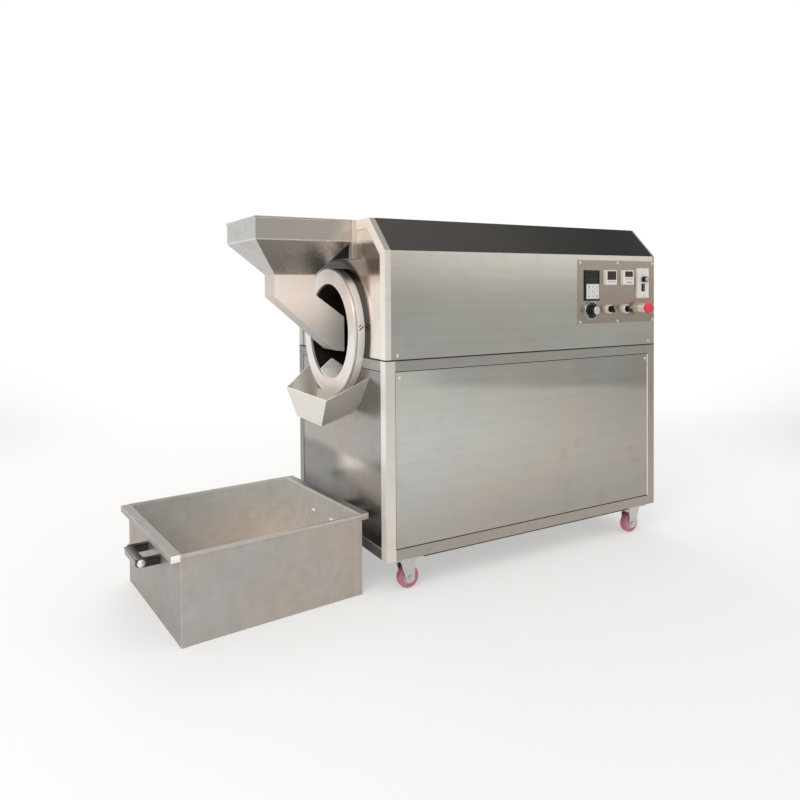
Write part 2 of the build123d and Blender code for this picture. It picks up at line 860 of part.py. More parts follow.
def gear_motor():
    """Worm gearbox with a finned motor to its rear and a terminal box on the motor."""
    y0, y1 = axis_y - gearbox_width / 2, axis_y + gearbox_width / 2
    box = block(motor_x0, motor_x1, y0, y1, gearbox_bottom, gearbox_bottom + gearbox_height)
    box = fillet(box.edges().filter_by(Axis.X), gearbox_edge)
    box -= rod("x", axis_y, motor_axis_z, motor_shaft_radius + running_play, motor_x0 + motor_bore_end,
               motor_x1 + cut_past)
    middle_x = (motor_x0 + motor_x1) / 2
    body = rod("y", middle_x, motor_axis_z, motor_radius, y1, y1 + motor_length)
    groove = motor_length / (2 * motor_fins + 3)
    for i in range(motor_fins):
        start = y1 + groove * (2 * i + 2)
        body -= pipe(
            "y", middle_x, motor_axis_z, motor_radius + cut_past, motor_radius - motor_fin_depth,
            start, start + groove)
    lid_z = motor_axis_z + motor_radius - motor_fin_depth
    lid = block(
        middle_x - motor_lid_width / 2, middle_x + motor_lid_width / 2, y1 + motor_lid_offset,
        y1 + motor_lid_offset + motor_lid_length, lid_z - motor_lid_sink, lid_z + motor_lid_rise)
    return box + body + lid


def heater_legs():
    """Angle and leg places of each heating element, as (middle angle, two leg points)."""
    radius = drum_radius + heater_off_drum
    step = (heater_last_angle - heater_first_angle) / (heater_count - 1)
    legs = []
    for i in range(heater_count):
        middle = heater_first_angle + i * step
        pair = []
        for side in (-0.5, 0.5):
            angle = radians(middle + side * heater_spread)
            pair.append((axis_y + radius * cos(angle), axis_z + radius * sin(angle)))
        legs.append(pair)
    return legs


def heat_jacket():
    """Sheet jacket round the drum in two halves, with end plates and lugs on the top rails."""
    outer = jacket_radius + sheet
    skin = pipe("x", axis_y, axis_z, outer, jacket_radius, jacket_front, jacket_back)
    front = pipe(
        "x", axis_y, axis_z, jacket_radius, neck_radius + jacket_neck_play, jacket_front,
        jacket_front + sheet)
    back = pipe(
        "x", axis_y, axis_z, jacket_radius, shaft_radius + jacket_shaft_play, jacket_back - sheet,
        jacket_back)
    for pair in heater_legs():
        for y, z in pair:
            back -= rod("x", y, z, heater_radius + heater_hole_play, jacket_back - tube, jacket_back + tube)
    jacket = skin + front + back
    middle = Plane(origin=(0, 0, axis_z))
    halves = [split(jacket, bisect_by=middle, keep=keep) for keep in (Keep.TOP, Keep.BOTTOM)]
    round_jacket = rod("x", axis_y, axis_z, outer, jacket_front, jacket_back)
    lugs = []
    for x in (jacket_front + tube, jacket_back - tube - jacket_lug_length):
        lug = block(x, x + jacket_lug_length, tube, axis_y, seam - jacket_lug_height, seam) - round_jacket
        lugs += [lug, front_to_back(lug)]
    return halves + lugs


def heating_elements():
    """Tubular heaters, each a long U whose ends come out through the jacket's back plate."""
    bend_x = cone_end + heater_front_margin
    heaters = []
    for (y0, z0), (y1, z1) in heater_legs():
        end = jacket_back + heater_terminal
        half = hypot(y1 - y0, z1 - z0) / 2
        first = Line((end, y0, z0), (bend_x, y0, z0))
        bend = ThreePointArc(
            (bend_x, y0, z0), (bend_x - half, (y0 + y1) / 2, (z0 + z1) / 2), (bend_x, y1, z1))
        last = Line((bend_x, y1, z1), (end, y1, z1))
        section = Plane(origin=(end, y0, z0), z_dir=(-1, 0, 0)) * Circle(heater_radius)
        heaters.append(sweep(section, path=Wire([first, bend, last])))
    return heaters


def roller_places():
    """Centres of the two support rollers, front first, as (y, z)."""
    return [(axis_y + hand * roller_out, axis_z - roller_drop) for hand in (-1, 1)]


def roller_brackets():
    """Forked brackets on the roller beam, each with its pin."""
    brackets = []
    for y, z in roller_places():
        bracket = rod(
            "x", y, z, roller_pin_radius, roller_x - roller_width / 2 - roller_side_play - cheek_sheet,
            roller_x + roller_width / 2 + roller_side_play + cheek_sheet)
        for hand in (-1, 1):
            inner = roller_x + hand * (roller_width / 2 + roller_side_play)
            x0, x1 = sorted((inner, inner + hand * cheek_sheet))
            bracket += block(x0, x1, y - cheek_half_width, y + cheek_half_width, roller_beam_top, z)
            bracket += rod("x", y, z, cheek_half_width, x0, x1)
        brackets.append(bracket)
    return brackets


def support_roller(place):
    """Plain roller that turns on its bracket's pin."""
    x0, x1 = roller_x - roller_width / 2, roller_x + roller_width / 2
    y, z = place
    return pipe("x", y, z, roller_radius, roller_pin_radius + running_play, x0, x1)


def rectangle_at(x0, x1, half_width, z):
    """Four corners of a level rectangle that is centred on the drum axis in Y."""
    return Plane(origin=((x0 + x1) / 2, axis_y, z)) * Rectangle(x1 - x0, 2 * half_width)


def hopper_space(shrink):
    """Space inside the hopper's outer faces, made smaller by the sheet, open at both ends."""
    grow = cut_past if shrink else 0
    x0, x1 = hopper_outer_x + shrink, hopper_inner_x - shrink
    half = hopper_width / 2 - shrink
    band_bottom = hood_top - hopper_band
    band = block(x0, x1, axis_y - half, axis_y + half, band_bottom, hood_top + grow)
    low = rectangle_at(
        throat_outer_x + shrink, throat_inner_x - shrink, throat_width / 2 - shrink, throat_top)
    taper = loft([low, rectangle_at(x0, x1, half, band_bottom)], ruled=True)
    throat = block(
        throat_outer_x + shrink, throat_inner_x - shrink, axis_y - throat_width / 2 + shrink,
        axis_y + throat_width / 2 - shrink, throat_top - duct_lap - grow, throat_top)
    return band + taper + throat


def feed_hopper():
    """Tray with a four-sided taper to its throat and a folded hem round the top."""
    hopper = hopper_space(0)
    hem = block(
        hopper_outer_x - hopper_hem, hopper_inner_x, axis_y - hopper_width / 2 - hopper_hem,
        axis_y + hopper_width / 2 + hopper_hem, hood_top - hopper_hem_height, hood_top)
    return hopper + hem - hopper_space(hopper_sheet)


def feed_duct():
    """Sloping duct from the hopper's throat to just inside the drum mouth, open at both ends."""
    top = throat_top - duct_lap
    outline = [
        (throat_outer_x, top), (throat_outer_x, throat_top - duct_outer_drop),
        (duct_reach - duct_lip_length, axis_z - duct_end_drop + duct_lip_rise),
        (duct_reach, axis_z - duct_end_drop), (duct_reach, axis_z + duct_end_rise),
        (throat_inner_x, throat_top - duct_inner_drop), (throat_inner_x, top)]
    walls = [hopper_sheet] * len(outline)
    walls[3] = walls[6] = -cut_past
    half = throat_width / 2
    bore = prism("y", inset(outline, walls), axis_y - half + hopper_sheet, axis_y + half - hopper_sheet)
    return prism("y", outline, axis_y - half, axis_y + half) - bore


def hopper_bracket():
    """Channel between hood and hopper, closed at the bottom, with a packing plate against the panel."""
    half = hopper_width / 2 + bracket_margin
    bottom = hood_top - bracket_height
    solid = block(-hopper_gap, 0, axis_y - half, axis_y + half, bottom, hood_top)
    solid += block(0, panel_recess, axis_y - half, axis_y + half, bottom, hood_top - end_border)
    inner = half - hopper_sheet
    shelf = bottom + hopper_sheet
    space = block(
        -hopper_gap + hopper_sheet, -hopper_sheet, axis_y - inner, axis_y + inner, shelf, 2 * hood_top)
    mouth = half - bracket_lip - bracket_margin
    window = block(
        -2 * hopper_gap, -hopper_sheet, axis_y - mouth, axis_y + mouth, shelf, 2 * hood_top)
    return solid - space - window


def chute_space(shrink):
    """Space inside the chute's outer faces, made smaller by the sheet, open above, behind and below."""
    open_by = -2 * chute_sheet if shrink else 0
    top_edge = Vector(panel_recess, axis_y - chute_top_half_width, axis_z - chute_top_drop)
    rim = Vector(-chute_rim_reach, axis_y - chute_rim_half_width, axis_z - chute_rim_drop)
    outlet = Vector(-chute_outlet_reach, axis_y - chute_outlet_half_width, axis_z - chute_outlet_drop)
    floor_start = Vector(panel_recess, axis_y, axis_z - chute_floor_drop)
    floor_end = Vector(-chute_floor_reach, axis_y, axis_z - chute_floor_end_drop)
    across = Vector(0, 1, 0)
    side = (outlet - rim).cross(top_edge - rim).normalized()
    faces = [
        (rim, side, shrink),
        (Vector(rim.X, 2 * axis_y - rim.Y, rim.Z), Vector(side.X, -side.Y, side.Z), shrink),
        (rim, (rim - outlet).cross(across).normalized(), shrink),
        (floor_start, (floor_start - floor_end).cross(across).normalized() * -1, shrink),
        (top_edge, (top_edge - rim).cross(across).normalized(), open_by),
        (outlet, (floor_end - outlet).cross(across).normalized() * -1, open_by),
        (floor_start, Vector(-1, 0, 0), open_by)]
    middle = Vector(-chute_outlet_reach / 2, axis_y, axis_z - (chute_rim_drop + chute_floor_end_drop) / 2)
    reach = 4 * chute_top_half_width
    space = Pos(*middle) * Box(reach, reach, reach)
    for point, normal, distance in faces:
        inward = normal if normal.dot(middle - point) > 0 else normal * -1
        space = split(space, bisect_by=Plane(point + inward * distance, z_dir=inward), keep=Keep.TOP)
    return space


def discharge_chute():
    """Open funnel under the drum mouth: two leaning sides, a front and a short sloping floor."""
    return chute_space(0) - chute_space(chute_sheet)


def on_plate(place, y):
    """Point in front of or behind the control plate."""
    return plate_left + place[0], y, plate_bottom + place[1]


def plate_block(place, width, height, y0, y1):
    """Box centred on a place of the control plate."""
    x, _, z = on_plate(place, 0)
    return block(x - width / 2, x + width / 2, y0, y1, z - height / 2, z + height / 2)


def plate_rod(place, radius, y0, y1):
    """Round bar through a place of the control plate."""
    x, _, z = on_plate(place, 0)
    return rod("y", x, z, radius, y0, y1)


def front_edges(shape):
    """Edges of a shape's foremost face."""
    return shape.faces().sort_by(Axis.Y)[0].edges()


def control_plate():
    """Flat plate with openings for every unit and switch on it."""
    plate = block(
        plate_left, plate_left + plate_width, -plate_sheet, 0, plate_bottom, plate_bottom + plate_height)
    wide = 2 * cutout_play
    cuts = [plate_block(
        keypad_place, keypad_width - 2 * keypad_body_margin + wide,
        keypad_height - 2 * keypad_body_margin + wide, -tube, tube)]
    cuts += [plate_block(place, controller_body_size + wide, controller_body_size + wide, -tube, tube)
             for place in controller_places]
    cuts.append(plate_block(
        speed_place, speed_width - 2 * speed_body_margin + wide,
        speed_height - 2 * speed_body_margin + wide, -tube, tube))
    cuts.append(plate_rod(dial_place, knob_shaft_radius + cutout_play, -tube, tube))
    cuts += [plate_rod(place, barrel_radius + barrel_play, -tube, tube)
             for place in (*selector_places, estop_place)]
    cuts += [hole(place, (0, -1, 0), 2 * plate_sheet) for place in plate_screws]
    return plate - cuts


def keypad_unit():
    """Drive keypad: a thick front with a recessed display and a raised membrane, and its body behind."""
    front = plate_block(
        keypad_place, keypad_width, keypad_height, -plate_sheet - keypad_front, -plate_sheet)
    front = fillet(front_edges(front), keypad_edge)
    face = -plate_sheet - keypad_front
    membrane_drop = (keypad_height - keypad_membrane_height) / 2 - keypad_margin
    membrane = plate_block(
        (keypad_place[0], keypad_place[1] - membrane_drop), keypad_membrane_width,
        keypad_membrane_height, face - keypad_membrane_raise, face)
    window_height = keypad_height - keypad_membrane_height - 3 * keypad_margin
    window_rise = (keypad_height - window_height) / 2 - keypad_margin
    window = plate_block(
        (keypad_place[0], keypad_place[1] + window_rise), keypad_membrane_width, window_height,
        face - cut_past, face + keypad_visor_depth)
    body = plate_block(
        keypad_place, keypad_width - 2 * keypad_body_margin, keypad_height - 2 * keypad_body_margin,
        -plate_sheet, keypad_body_depth)
    return front + membrane - window + body


def dial_plate():
    """Round printed plate behind the large knob."""
    plate = plate_rod(dial_place, dial_radius, -plate_sheet - dial_sheet, -plate_sheet)
    return plate - plate_rod(dial_place, knob_shaft_radius + cutout_play, -tube, tube)


def temp_controllers():
    """Square temperature controller and counter, each with a recessed window and its body behind."""
    units = []
    for place, size, rise in zip(controller_places, window_sizes, window_rises):
        face = -plate_sheet - controller_front
        front = plate_block(place, controller_size, controller_size, face, -plate_sheet)
        front = fillet(front_edges(front), controller_edge)
        front -= plate_block(
            (place[0], place[1] + rise), *size, face - cut_past, face + controller_window_depth)
        body = plate_block(
            place, controller_body_size, controller_body_size, -plate_sheet, controller_body_depth)
        units.append(front + body)
    return units


def speed_controller():
    """White speed controller with the knob's shaft hole and the rocker's pocket in its face."""
    face = -plate_sheet - speed_front
    front = plate_block(speed_place, speed_width, speed_height, face, -plate_sheet)
    front = fillet(front_edges(front), speed_edge)
    body = plate_block(
        speed_place, speed_width - 2 * speed_body_margin, speed_height - 2 * speed_body_margin,
        -plate_sheet, speed_body_depth)
    unit = front + body
    unit -= plate_rod(speed_knob_place, knob_shaft_radius + running_play, face - cut_past, pot_bore_depth)
    return unit - plate_block(
        rocker_place, rocker_width, rocker_height, face - cut_past, face + rocker_pocket)


def switch_bodies():
    """Parts behind the plate: the dial's potentiometer and the contact blocks, and the rocker's frame."""
    pot = plate_block(dial_place, pot_size, pot_size, 0, pot_depth)
    pot -= plate_rod(dial_place, knob_shaft_radius + running_play, -cut_past, pot_bore_depth)
    blocks = [
        plate_block(place, switch_block_size, switch_block_size, barrel_length,
                    barrel_length + switch_block_depth)
        for place in (*selector_places, estop_place)]
    face = -plate_sheet - speed_front
    frame = plate_block(
        rocker_place, rocker_width + 2 * rocker_bezel, rocker_height + 2 * rocker_bezel,
        face - rocker_bezel / 2, face)
    frame -= plate_block(rocker_place, rocker_width, rocker_height, face - tube, face + tube)
    return [pot, frame] + blocks


def button_bezels():
    """Chrome bezels of the selectors and the emergency stop's collar, with their threaded barrels."""
    bezels = []
    for place in selector_places:
        front = -plate_sheet - bezel_height
        bezel = plate_rod(place, bezel_radius, front, -plate_sheet)
        bezel = fillet(front_edges(bezel), bezel_edge)
        bezel += plate_rod(place, barrel_radius, -plate_sheet, barrel_length)
        bezel -= plate_rod(place, bezel_bore, front - cut_past, -plate_sheet - bezel_floor)
        bezels.append(bezel - plate_rod(place, barrel_bore, -tube, tube))
    collar = plate_rod(
        estop_place, estop_collar_radius, -plate_sheet - estop_collar_height, -plate_sheet)
    collar = fillet(front_edges(collar), bezel_floor)
    collar += plate_rod(estop_place, barrel_radius, -plate_sheet, barrel_length)
    bore = estop_stem_radius + running_play
    bezels.append(collar - plate_rod(estop_place, bore, -2 * estop_collar_height, tube))
    return bezels


def fluted_knob(place, radius, face, length, shaft_end_y):
    """Round knob with flutes round its side, on a shaft that goes into the unit behind."""
    x, _, z = on_plate(place, 0)
    knob = plate_rod(place, radius, face - length, face)
    knob = fillet(front_edges(knob), knob_edge_share * radius)
    flutes = []
    for i in range(knob_flutes):
        angle = radians(360 * i / knob_flutes)
        flutes.append(rod(
            "y", x + radius * cos(angle), z + radius * sin(angle), knob_flute_radius,
            face - 2 * length, face - knob_plain_share * length))
    return knob - flutes + plate_rod(place, knob_shaft_radius, face, shaft_end_y)


def dial_knob():
    """Large knob with a skirt, in front of the dial plate."""
    face = -plate_sheet - dial_sheet - knob_gap
    knob = fluted_knob(dial_place, dial_knob_radius, face, dial_knob_length, knob_shaft_in)
    return knob + plate_rod(dial_place, dial_skirt_radius, face - dial_skirt_height, face)


def speed_knob():
    """Small knob of the speed controller."""
    face = -plate_sheet - speed_front - knob_gap
    return fluted_knob(speed_knob_place, speed_knob_radius, face, speed_knob_length, knob_shaft_in)


def rocker_pivot():
    """Point on the rocker's axis."""
    return on_plate(rocker_place, rocker_axis_depth - plate_sheet - speed_front)


def speed_rocker():
    """Rocker paddle on a round axle, resting with its top pressed in."""
    half_width = (rocker_width - rocker_play / 2) / 2
    half_height = rocker_height / 2 - rocker_play
    paddle = block(
        -half_width, half_width, -rocker_axis_depth - rocker_stand_out, rocker_back,
        -half_height, half_height)
    paddle = fillet(paddle.edges().filter_by(Axis.X).group_by(Axis.Y)[0], rocker_edge)
    paddle += rod("x", 0, 0, rocker_axle_radius, -half_width, half_width)
    return Pos(*rocker_pivot()) * Rot(-rocker_tilt, 0, 0) * paddle


def selector(place, rest_angle):
    """Selector handle: a round base in the bezel with a raised grip bar and a stem in the barrel."""
    x, _, z = on_plate(place, 0)
    back = -plate_sheet - bezel_floor - selector_gap
    base_front = back - bezel_height
    base = rod("y", 0, 0, selector_radius, base_front, back)
    grip = block(
        -selector_grip_width / 2, selector_grip_width / 2, base_front - selector_grip_height,
        base_front + selector_drum, -selector_radius, selector_radius)
    grip = fillet(front_edges(grip), selector_grip_edge)
    handle = base + (grip & rod("y", 0, 0, selector_radius, base_front - tube, back))
    handle += rod("y", 0, 0, barrel_bore - running_play, back, barrel_length / 2)
    return Pos(x, 0, z) * Rot(0, rest_angle, 0) * handle


def estop_button():
    """Red mushroom head on a stem that slides in its collar."""
    collar_front = -plate_sheet - estop_collar_height
    head_back = collar_front - estop_travel - estop_gap
    head = plate_rod(estop_place, estop_head_radius, head_back - estop_head_height, head_back)
    head = fillet(front_edges(head), estop_crown)
    head = fillet(head.faces().sort_by(Axis.Y)[-1].edges(), estop_rim)
    return head + plate_rod(estop_place, estop_stem_radius, head_back, 0)


caster_corners = {
    "front_left": (caster_inset_x, caster_inset_y, 1),
    "front_right": (cabinet_length - caster_inset_x, caster_inset_y, -1),
    "rear_left": (caster_inset_x, cabinet_depth - caster_inset_y, 1),
    "rear_right": (cabinet_length - caster_inset_x, cabinet_depth - caster_inset_y, -1)}
race_bottom = underside_height - caster_plate_sheet - caster_race_height
fork_top = race_bottom - kingpin_gap


def caster_plates():
    """Top plates with their swivel races and bolts, one under each corner."""
    plates = []
    top = underside_height
    bottom = top - caster_plate_sheet
    for x, y, _ in caster_corners.values():
        outline = RectangleRounded(caster_plate_length, caster_plate_width, caster_plate_corner)
        plate = extrude(Pos(x, y, bottom) * outline, amount=caster_plate_sheet)
        plate += rod("z", x, y, caster_race_radius, race_bottom, bottom)
        for side in (-1, 1):
            for hand in (-1, 1):
                bolt_x = x + side * (caster_plate_length / 2 - caster_bolt_inset)
                bolt_y = y + hand * (caster_plate_width / 2 - caster_bolt_inset)
                head = Pos(bolt_x, bolt_y, bottom) * RegularPolygon(caster_bolt_radius, 6)
                plate += extrude(head, amount=-caster_bolt_height)
        plates.append(plate - rod("z", x, y, kingpin_radius + running_play, 0, 2 * top))
    return plates


def caster_fork(corner):
    """Swivelling fork with its kingpin and the wheel's axle."""
    x, y, hand = caster_corners[corner]
    trail = hand * caster_trail
    half = fork_top_half_length
    outer = fork_gap + fork_sheet
    fork = block(x - half, x + half, y - outer, y + outer, fork_top - fork_top_sheet, fork_top)
    for start in (y - outer, y + fork_gap):
        leg = prism("y", [
            (x - half, fork_top), (x + half, fork_top), (x + trail + fork_end_radius, wheel_radius),
            (x + trail - fork_end_radius, wheel_radius)], start, start + fork_sheet)
        leg += rod("y", x + trail, wheel_radius, fork_end_radius, start, start + fork_sheet)
        fork += leg
    reach = outer + axle_head_height
    fork += rod("y", x + trail, wheel_radius, axle_radius, y - reach, y + reach)
    for start in (y - reach, y + outer):
        head = facing((x + trail, start, wheel_radius), (0, 1, 0)) * RegularPolygon(axle_head_radius, 6)
        fork += extrude(head, amount=axle_head_height)
    return fork + rod("z", x, y, kingpin_radius, fork_top, underside_height - kingpin_gap)


def caster_wheel(corner):
    """Wheel with a rounded tread, a hub boss and a shallow web on each side."""
    x, y, hand = caster_corners[corner]
    wheel = rod("y", 0, 0, wheel_radius, -wheel_width / 2, wheel_width / 2)
    wheel = fillet(wheel.edges().filter_by(GeomType.CIRCLE), wheel_tread_edge)
    for start in (-wheel_width / 2, wheel_width / 2 - wheel_web_depth):
        wheel -= pipe("y", 0, 0, wheel_web_radius, wheel_hub_radius, start, start + wheel_web_depth)
    wheel += rod("y", 0, 0, wheel_hub_radius, -wheel_hub_width / 2, wheel_hub_width / 2)
    wheel -= rod("y", 0, 0, axle_radius + running_play, -wheel_width, wheel_width)
    return Pos(x + hand * caster_trail, y, wheel_radius) * wheel


bin_place = Pos(-bin_corner_gap, bin_corner_back, 0) * Rot(0, 0, bin_angle)
handle_bolts = [bin_width / 2 - handle_offset + side * handle_pitch / 2 for side in (-1, 1)]


def bin_other_side(shape):
    """Mirror image across the middle of the bin's length."""
    return mirror(shape, about=Plane(origin=(-bin_length / 2, 0, 0), z_dir=(1, 0, 0)))


def bin_shell():
    """Folded box with a boxed rim on two sides, a thin hem on the others and lapped corners."""
    left, wall, top = -bin_length, bin_sheet, bin_height
    shell = block(left, 0, 0, bin_width, 0, top)
    shell -= block(left + wall, -wall, wall, bin_width - wall, wall, top + cut_past)
    rim = block(0, bin_rim_width, 0, bin_width, top - bin_rim_height, top)
    rim -= block(0, bin_rim_width - wall, wall, bin_width - wall, 0, top - wall)
    shell += [rim, bin_other_side(rim)]
    for y in (-bin_hem, bin_width):
        shell += block(left, 0, y, y + bin_hem, top - bin_hem_height, top)
    for y in (-bin_corner_sheet, bin_width):
        strip = block(-bin_corner_strip, 0, y, y + bin_corner_sheet, 0, top - bin_hem_height)
        shell += [strip, bin_other_side(strip)]
    for y in handle_bolts:
        shell -= rod("x", y, handle_height, handle_bolt_radius + handle_bolt_play, 2 * left, -left)
    return bin_place * shell


def bin_handles():
    """Two U-shaped pull handles, one on each rimmed side."""
    low, high = handle_bolts[0] - handle_arm / 2, handle_bolts[1] + handle_arm / 2
    inner = handle_reach - handle_arm
    bottom = handle_height - handle_thickness / 2
    handle = block(0, handle_reach, low, high, bottom, bottom + handle_thickness)
    outer_corners = handle.edges().filter_by(Axis.Z).group_by(Axis.X)[-1]
    handle = fillet(outer_corners, handle_corner)
    gap = block(-cut_past, inner, low + handle_arm, high - handle_arm, 0, bin_height)
    gap = fillet(gap.edges().filter_by(Axis.Z).group_by(Axis.X)[-1], handle_inner_corner)
    handle -= gap
    rims = handle.faces().filter_by(Axis.Z)
    handle = fillet([edge for face in rims for edge in face.edges()], handle_edge)
    for y in handle_bolts:
        handle -= rod(
            "x", y, handle_height, handle_bolt_radius + handle_bolt_play, -cut_past,
            handle_bolt_in + cut_past)
    return [bin_place * handle, bin_place * bin_other_side(handle)]


def bin_handle_bolts():
    """Bolts through the bin's walls into the handles, with domed heads inside the bin."""
    bolts = []
    for y in handle_bolts:
        head = rod("x", y, handle_height, handle_nut_radius, -bin_sheet - handle_nut_height, -bin_sheet)
        head = fillet(head.faces().sort_by(Axis.X)[0].edges(), handle_nut_crown)
        bolt = head + rod("x", y, handle_height, handle_bolt_radius, -bin_sheet, handle_bolt_in)
        bolts += [bin_place * bolt, bin_place * bin_other_side(bolt)]
    return bolts


def cable_gland():
    """Cable gland through the rear base panel, with its locknut inside and its dome outside."""
    x, z = gland_place()
    face = cabinet_depth - panel_recess
    inner = face - sheet
    locknut = facing((x, inner, z), (0, -1, 0)) * RegularPolygon(gland_nut_radius, 6)
    flange = facing((x, face, z), (0, 1, 0)) * RegularPolygon(gland_nut_radius, 6)
    dome = rod("y", x, z, gland_dome_radius, face, face + gland_nut_height + gland_dome_height)
    dome = fillet(dome.faces().sort_by(Axis.Y)[-1].edges(), gland_dome_edge)
    gland = extrude(locknut, amount=gland_nut_height) + extrude(flange, amount=gland_nut_height) + dome
    gland += rod("y", x, z, gland_thread_radius, inner - 2 * gland_nut_height, face)
    return gland - rod("y", x, z, gland_bore, inner - tube, face + 2 * tube)


def electrics_box():
    """Closed box for the contactors on the inside of the right base panel, with a lapped lid."""
    x1 = cabinet_length - panel_face
    y0, y1 = axis_y - box_length / 2, axis_y + box_length / 2
    z0 = pan_top + box_rise
    body = block(x1 - box_depth + box_lid, x1, y0, y1, z0, z0 + box_height)
    body = fillet(body.edges().filter_by(Axis.X), box_edge)
    over = box_lid_overlap
    lid = block(x1 - box_depth, x1 - box_depth + box_lid, y0 - over, y1 + over, z0 - over,
                z0 + box_height + over)
    lid = fillet(lid.edges().filter_by(Axis.X), box_edge)
    return body + lid


front_roller, back_roller = roller_places()
nodes = {
    "base_frame": base_frame(),
    "base_front_panel": base_side_panel(),
    "base_rear_panel": base_rear_panel(),
    "base_left_panel": base_end_panel(),
    "base_right_panel": base_right_panel(),
    "base_floor_pan": base_floor_pan(),
    "hood_frames": hood_frames(),
    "hood_left_panel": hood_left_panel(),
    "hood_right_panel": hood_end(cabinet_length - end_frame_sheet - sheet),
    "hood_front_panel": hood_front_panel(),
    "hood_rear_panel": front_to_back(hood_side_panel()),
    "hood_cover": hood_cover(),
    "panel_screws": panel_screws(),
    "mouth_collar": mouth_collar(),
    "drum_shell": drum_shell(),
    "drum_mouth_ring": drum_mouth_ring(),
    "drum_flights": drum_flights(),
    "drum_scoop": drum_scoop(),
    "drum_shaft": [drum_shaft(), drum_sprocket()],
    "motor_sprocket": motor_sprocket(),
    "drive_chain": drive_chain(),
    "rear_bearing": rear_bearing(),
    "motor_mount": motor_mount(),
    "gear_motor": gear_motor(),
    "heat_jacket": heat_jacket(),
    "heating_elements": heating_elements(),
    "roller_brackets": roller_brackets(),
    "support_roller_front": support_roller(front_roller),
    "support_roller_back": support_roller(back_roller),
    "feed_hopper": feed_hopper(),
    "feed_duct": feed_duct(),
    "hopper_bracket": hopper_bracket(),
    "discharge_chute": discharge_chute(),
    "control_plate": control_plate(),
    "keypad_unit": keypad_unit(),
    "dial_plate": dial_plate(),
    "temp_controllers": temp_controllers(),
    "speed_controller": speed_controller(),
    "switch_bodies": switch_bodies(),
    "button_bezels": button_bezels(),
    "dial_knob": dial_knob(),
    "speed_knob": speed_knob(),
    "speed_rocker": speed_rocker(),
    "direction_selector": selector(selector_places[0], selector_rest_angles[0]),
    "heat_selector": selector(selector_places[1], selector_rest_angles[1]),
    "estop_button": estop_button(),
    "caster_plates": caster_plates(),
    **{f"caster_fork_{corner}": caster_fork(corner) for corner in caster_corners},
    **{f"caster_wheel_{corner}": caster_wheel(corner) for corner in caster_corners},
    "bin_shell": bin_shell(),
    "bin_handles": bin_handles(),
    "bin_handle_bolts": bin_handle_bolts(),
    "cable_gland": cable_gland(),
    "electrics_box": electrics_box()}

# Move the origin to the middle of the footprint and write one file per node
solids = {}
for name, made in nodes.items():
    pieces = made if isinstance(made, list) else [made]
    solids[name] = [solid for piece in pieces for solid in piece.solids()]
box = Compound([solid for group in solids.values() for solid in group]).bounding_box()
to_origin = Pos(-box.center().X, -box.center().Y, -box.min.Z)
os.makedirs("parts", exist_ok=True)
for name, group in solids.items():
    export_step(to_origin * Compound(group), f"parts/{name}.step")
print(len(solids), "nodes; box", box.size, "centre", box.center())
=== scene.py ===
# %% [markdown]
# # A drum roaster for nuts
# The real machine is a stainless cabinet on casters. A drum turns inside it, nuts go in through a
# hopper and a duct at the left end, and they leave down a chute into a loose bin on the floor.
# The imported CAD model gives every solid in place, so this lesson only dresses it: a studio, one small
# tool for shader maths, a finish for each material, and the fine pieces that CAD leaves out.

from math import cos, pi, radians, sin

import bmesh
import bpy
from mathutils import Matrix, Vector


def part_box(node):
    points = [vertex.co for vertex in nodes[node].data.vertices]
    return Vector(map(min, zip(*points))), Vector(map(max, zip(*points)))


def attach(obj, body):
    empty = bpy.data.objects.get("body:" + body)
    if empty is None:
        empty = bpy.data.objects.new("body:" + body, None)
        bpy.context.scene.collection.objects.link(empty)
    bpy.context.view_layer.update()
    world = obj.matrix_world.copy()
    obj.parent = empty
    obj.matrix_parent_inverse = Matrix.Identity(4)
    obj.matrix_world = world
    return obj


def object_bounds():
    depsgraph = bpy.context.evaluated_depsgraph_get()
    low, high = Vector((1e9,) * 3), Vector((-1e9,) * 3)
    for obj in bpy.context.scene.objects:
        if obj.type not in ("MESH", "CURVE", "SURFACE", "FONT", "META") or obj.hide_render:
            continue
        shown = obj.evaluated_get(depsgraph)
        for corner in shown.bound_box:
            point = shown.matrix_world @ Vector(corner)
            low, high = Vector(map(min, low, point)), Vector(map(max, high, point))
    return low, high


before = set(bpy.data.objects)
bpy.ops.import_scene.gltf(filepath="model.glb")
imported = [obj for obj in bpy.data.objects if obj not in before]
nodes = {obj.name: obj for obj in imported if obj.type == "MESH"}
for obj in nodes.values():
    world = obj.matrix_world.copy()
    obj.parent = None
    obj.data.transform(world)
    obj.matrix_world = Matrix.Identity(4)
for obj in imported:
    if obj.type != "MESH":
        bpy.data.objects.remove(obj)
cad_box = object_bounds()

# %% [markdown]
# ## Finding places
# The machine was measured in millimetres from the front left corner of its base, on the floor.
# The frame of the model has its origin in the middle of the footprint, so one corner of the base frame
# links the two. Places are written in the machine's own millimetres and pass through here. Only the
# shaders' masks and the bin's own lengths are in metres.

# %% From machine millimetres to the model's metres
base_low, base_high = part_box("base_frame")
corner = Vector((base_low.x, base_low.y, 0.0))
MM = 0.001


def at(x, y, z):
    """Point given in millimetres from the base's front left corner, in metres in the model's frame."""
    return corner + Vector((x, y, z)) * MM


print("base corner at", [round(v, 4) for v in corner])

# %% [markdown]
# ## The camera
# The camera was solved from the corners of the cabinet and the bin. It stands to the left of the front,
# at about the height of the control plate. The photograph was cropped, so the lens axis isn't in the
# middle of the picture, and the camera's shift puts it back where it belongs.

# %% Camera at the photograph's viewing angle
PICTURE = 800
FOCAL_PIXELS = 702.24
AXIS_PIXEL = (414.03, 300.16)
SENSOR_WIDTH = 36.0
VIEW_DEPTH = 100.0
CAMERA_PLACE = (-891.9, -1693.9, 854.1)
YAW, PITCH, ROLL = radians(30.127), radians(1.080), radians(-0.318)

